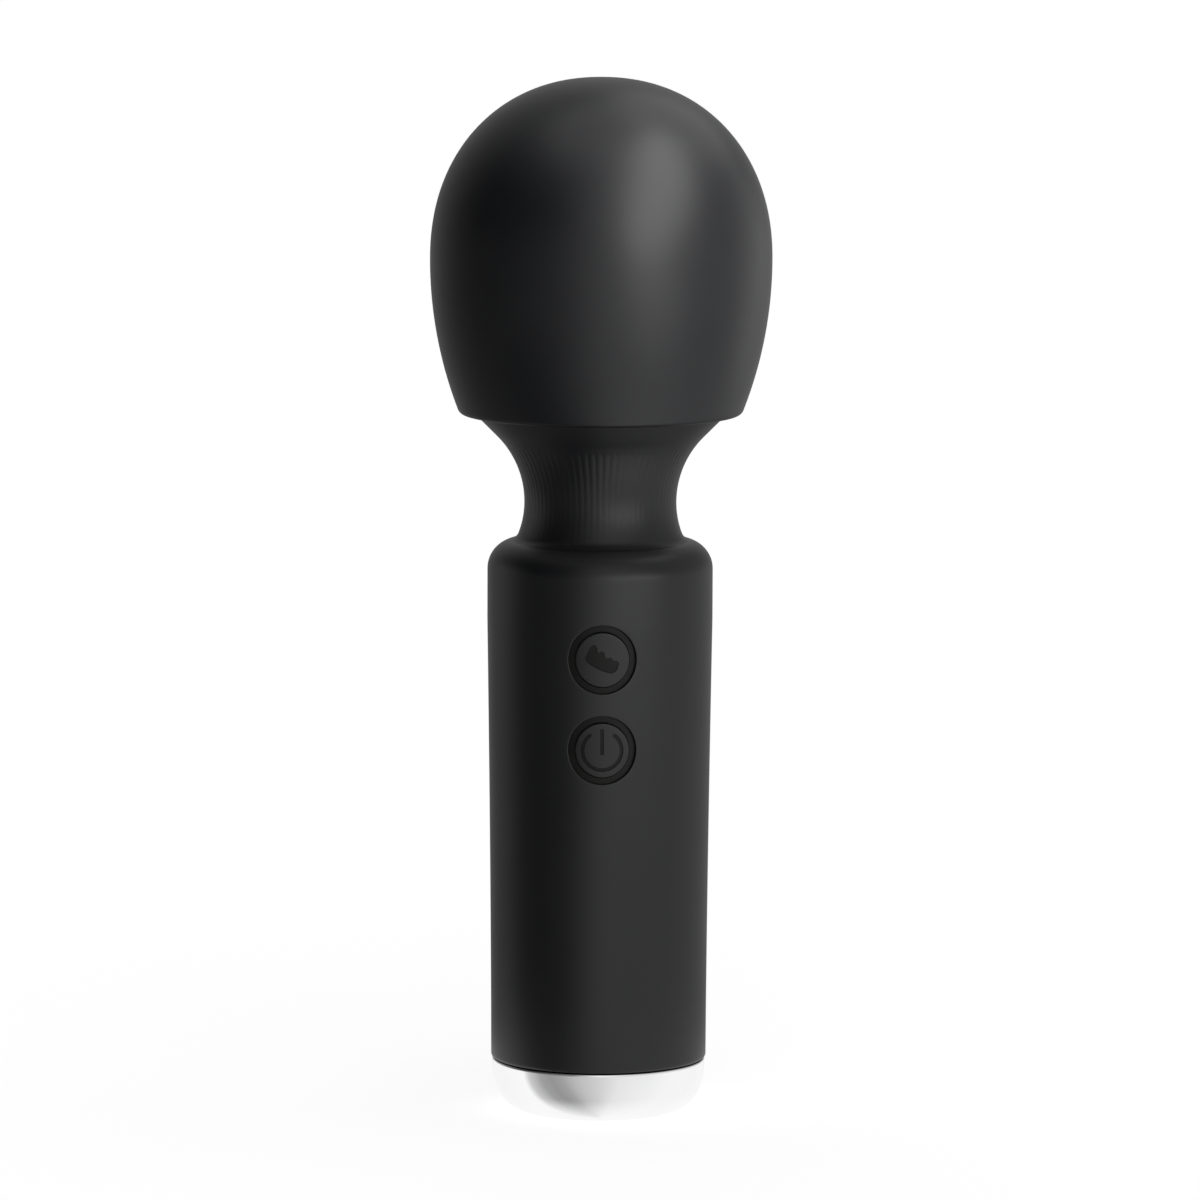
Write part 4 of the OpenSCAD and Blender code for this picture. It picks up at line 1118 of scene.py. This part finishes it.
def addFloor():
    reach = floorSet["reach"]
    corners = [(-reach, -reach, 0), (reach, -reach, 0), (reach, reach, 0), (-reach, reach, 0)]
    mesh = bpy.data.meshes.new("floor")
    mesh.from_pydata(corners, [], [(0, 1, 2, 3)])
    floor = bpy.data.objects.new("floor", mesh)
    bpy.context.scene.collection.objects.link(floor)
    material, tree, shader = newMaterial("paleFloor")
    feed(tree, shader, {"Base Color": levelColour(floorSet["paint"]), "Roughness": floorSet["rough"],
                        "Specular IOR Level": 0.0})
    painted = shader.outputs[0]
    path = addNode(tree, "ShaderNodeLightPath", {}).outputs
    where = addNode(tree, "ShaderNodeTexCoord", {}).outputs["Object"]
    fromCentre = {"Vector": where, "Location": (0, -floorSet["paintedReflectionCentre"], 0)}
    turn, _ = roundAngle(tree, addNode(tree, "ShaderNodeMapping", fromCentre).outputs[0])
    outwards = addNode(tree, "ShaderNodeVectorMath", {0: where}, operation="LENGTH").outputs["Value"]
    share = smoothShare(tree, outwards, floorSet["paintedWhiteWithin"], floorSet["paintedWhiteUntil"])
    level = mixColours(tree, share, levelColour(1), angleRamp(tree, turn, floorSet["paintedReflection"]))
    # painted reflection: an emission that only reflections see, grey by the angle round the wand and white
    # right under the cap
    paintedReflection = addNode(tree, "ShaderNodeEmission", {"Color": level}).outputs[0]
    clear = addNode(tree, "ShaderNodeBsdfTransparent", {}).outputs[0]
    away = smoothShare(tree, path["Ray Length"], floorSet["paintedReflectionFrom"], floorSet["paintedReflectionTo"])
    mirrored = mixShaders(tree, away, paintedReflection, clear)
    lift = addNode(tree, "ShaderNodeEmission", {"Strength": floorSet["lift"]}).outputs[0]
    lifted = addNode(tree, "ShaderNodeAddShader", {0: painted, 1: lift}).outputs[0]
    seen = mixShaders(tree, path["Is Camera Ray"], painted, lifted)
    passing = {0: path["Is Glossy Ray"], 1: path["Is Shadow Ray"]}
    passes = addNode(tree, "ShaderNodeMath", passing, operation="MAXIMUM").outputs[0]
    feed(tree, tree.nodes["Material Output"], {"Surface": mixShaders(tree, passes, seen, mirrored)})
    mesh.materials.append(material)


# soft lamps, each for the pieces that it lights
litPieces = {
    "headLit": (headCover,),
    "shoulderLit": (gripSleeve, neckLower),
    "gripLit": (gripSleeve, modeKey, powerKey, neckLower, neckUpper),
}
lampAim = (0, 0, 100 * mm)
lampSet = {
    # degrees round to the right, degrees up, roll, metres away, metres across, brightness where 1 is
    # white, the pieces that it lights, and where these are named, the only ones that shade it
    "domeLamp": (46, 36, -36, 1.2, (0.85, 2.3), 3.95, "headLit", None),
    "crownLamp": (20, 85, 0, 1.2, (1.4, 1.4), 0.73, "headLit", None),
    "rimLamp": (135, 48, 0, 1.2, (1.1, 1.1), 0.85, "headLit", None),
    "shoulderLamp": (130, 74, 0, 1.2, (1.0, 1.0), 1.56, "shoulderLit", "shoulderLit"),
    "gripLamp": (32, -4.3, 0, 0.2, (0.24, 0.05), 2.11, "gripLit", None),
    "bowlLamp": (36, -12, 0, 1.2, (0.8, 0.5), 1.21, "headLit", None),
    "cheekLamp": (122, 0, 0, 1.2, (0.8, 1.0), 0.435, "headLit", None),
    "gripSideLamp": (-112, 0, 0, 1.2, (0.9, 0.7), 0.29, "gripLit", None),
}


def addLamp(name, turn, rise, roll, distance, size, level, lit, shading):
    data = bpy.data.lights.new(name, "AREA")
    data.shape = "ELLIPSE"
    data.size, data.size_y = size
    data.energy = level * math.pi * math.pi / 4 * size[0] * size[1]
    lamp = bpy.data.objects.new(name, data)
    bpy.context.scene.collection.objects.link(lamp)
    a, e = math.radians(turn), math.radians(rise)
    aim = Vector(lampAim)
    outwards = Vector((math.sin(a) * math.cos(e), -math.cos(a) * math.cos(e), math.sin(e)))
    lamp.location = aim + distance * outwards
    facing = (aim - lamp.location).to_track_quat("-Z", "Y").to_matrix()
    lamp.rotation_euler = (facing @ Matrix.Rotation(math.radians(roll), 3, "Z")).to_euler()
    lamp.visible_camera = False
    lamp.light_linking.receiver_collection = litGroups[lit]
    if shading:
        lamp.light_linking.blocker_collection = litGroups[shading]


bpy.context.scene.view_settings.view_transform = "Standard"
addFloor()
addWorld()
litGroups = {}
for groupName, pieces in litPieces.items():
    litGroups[groupName] = bpy.data.collections.new(groupName)
    for piece in pieces:
        litGroups[groupName].objects.link(piece)
for lampName, lamp in lampSet.items():
    addLamp(lampName, *lamp)
print("studio made")
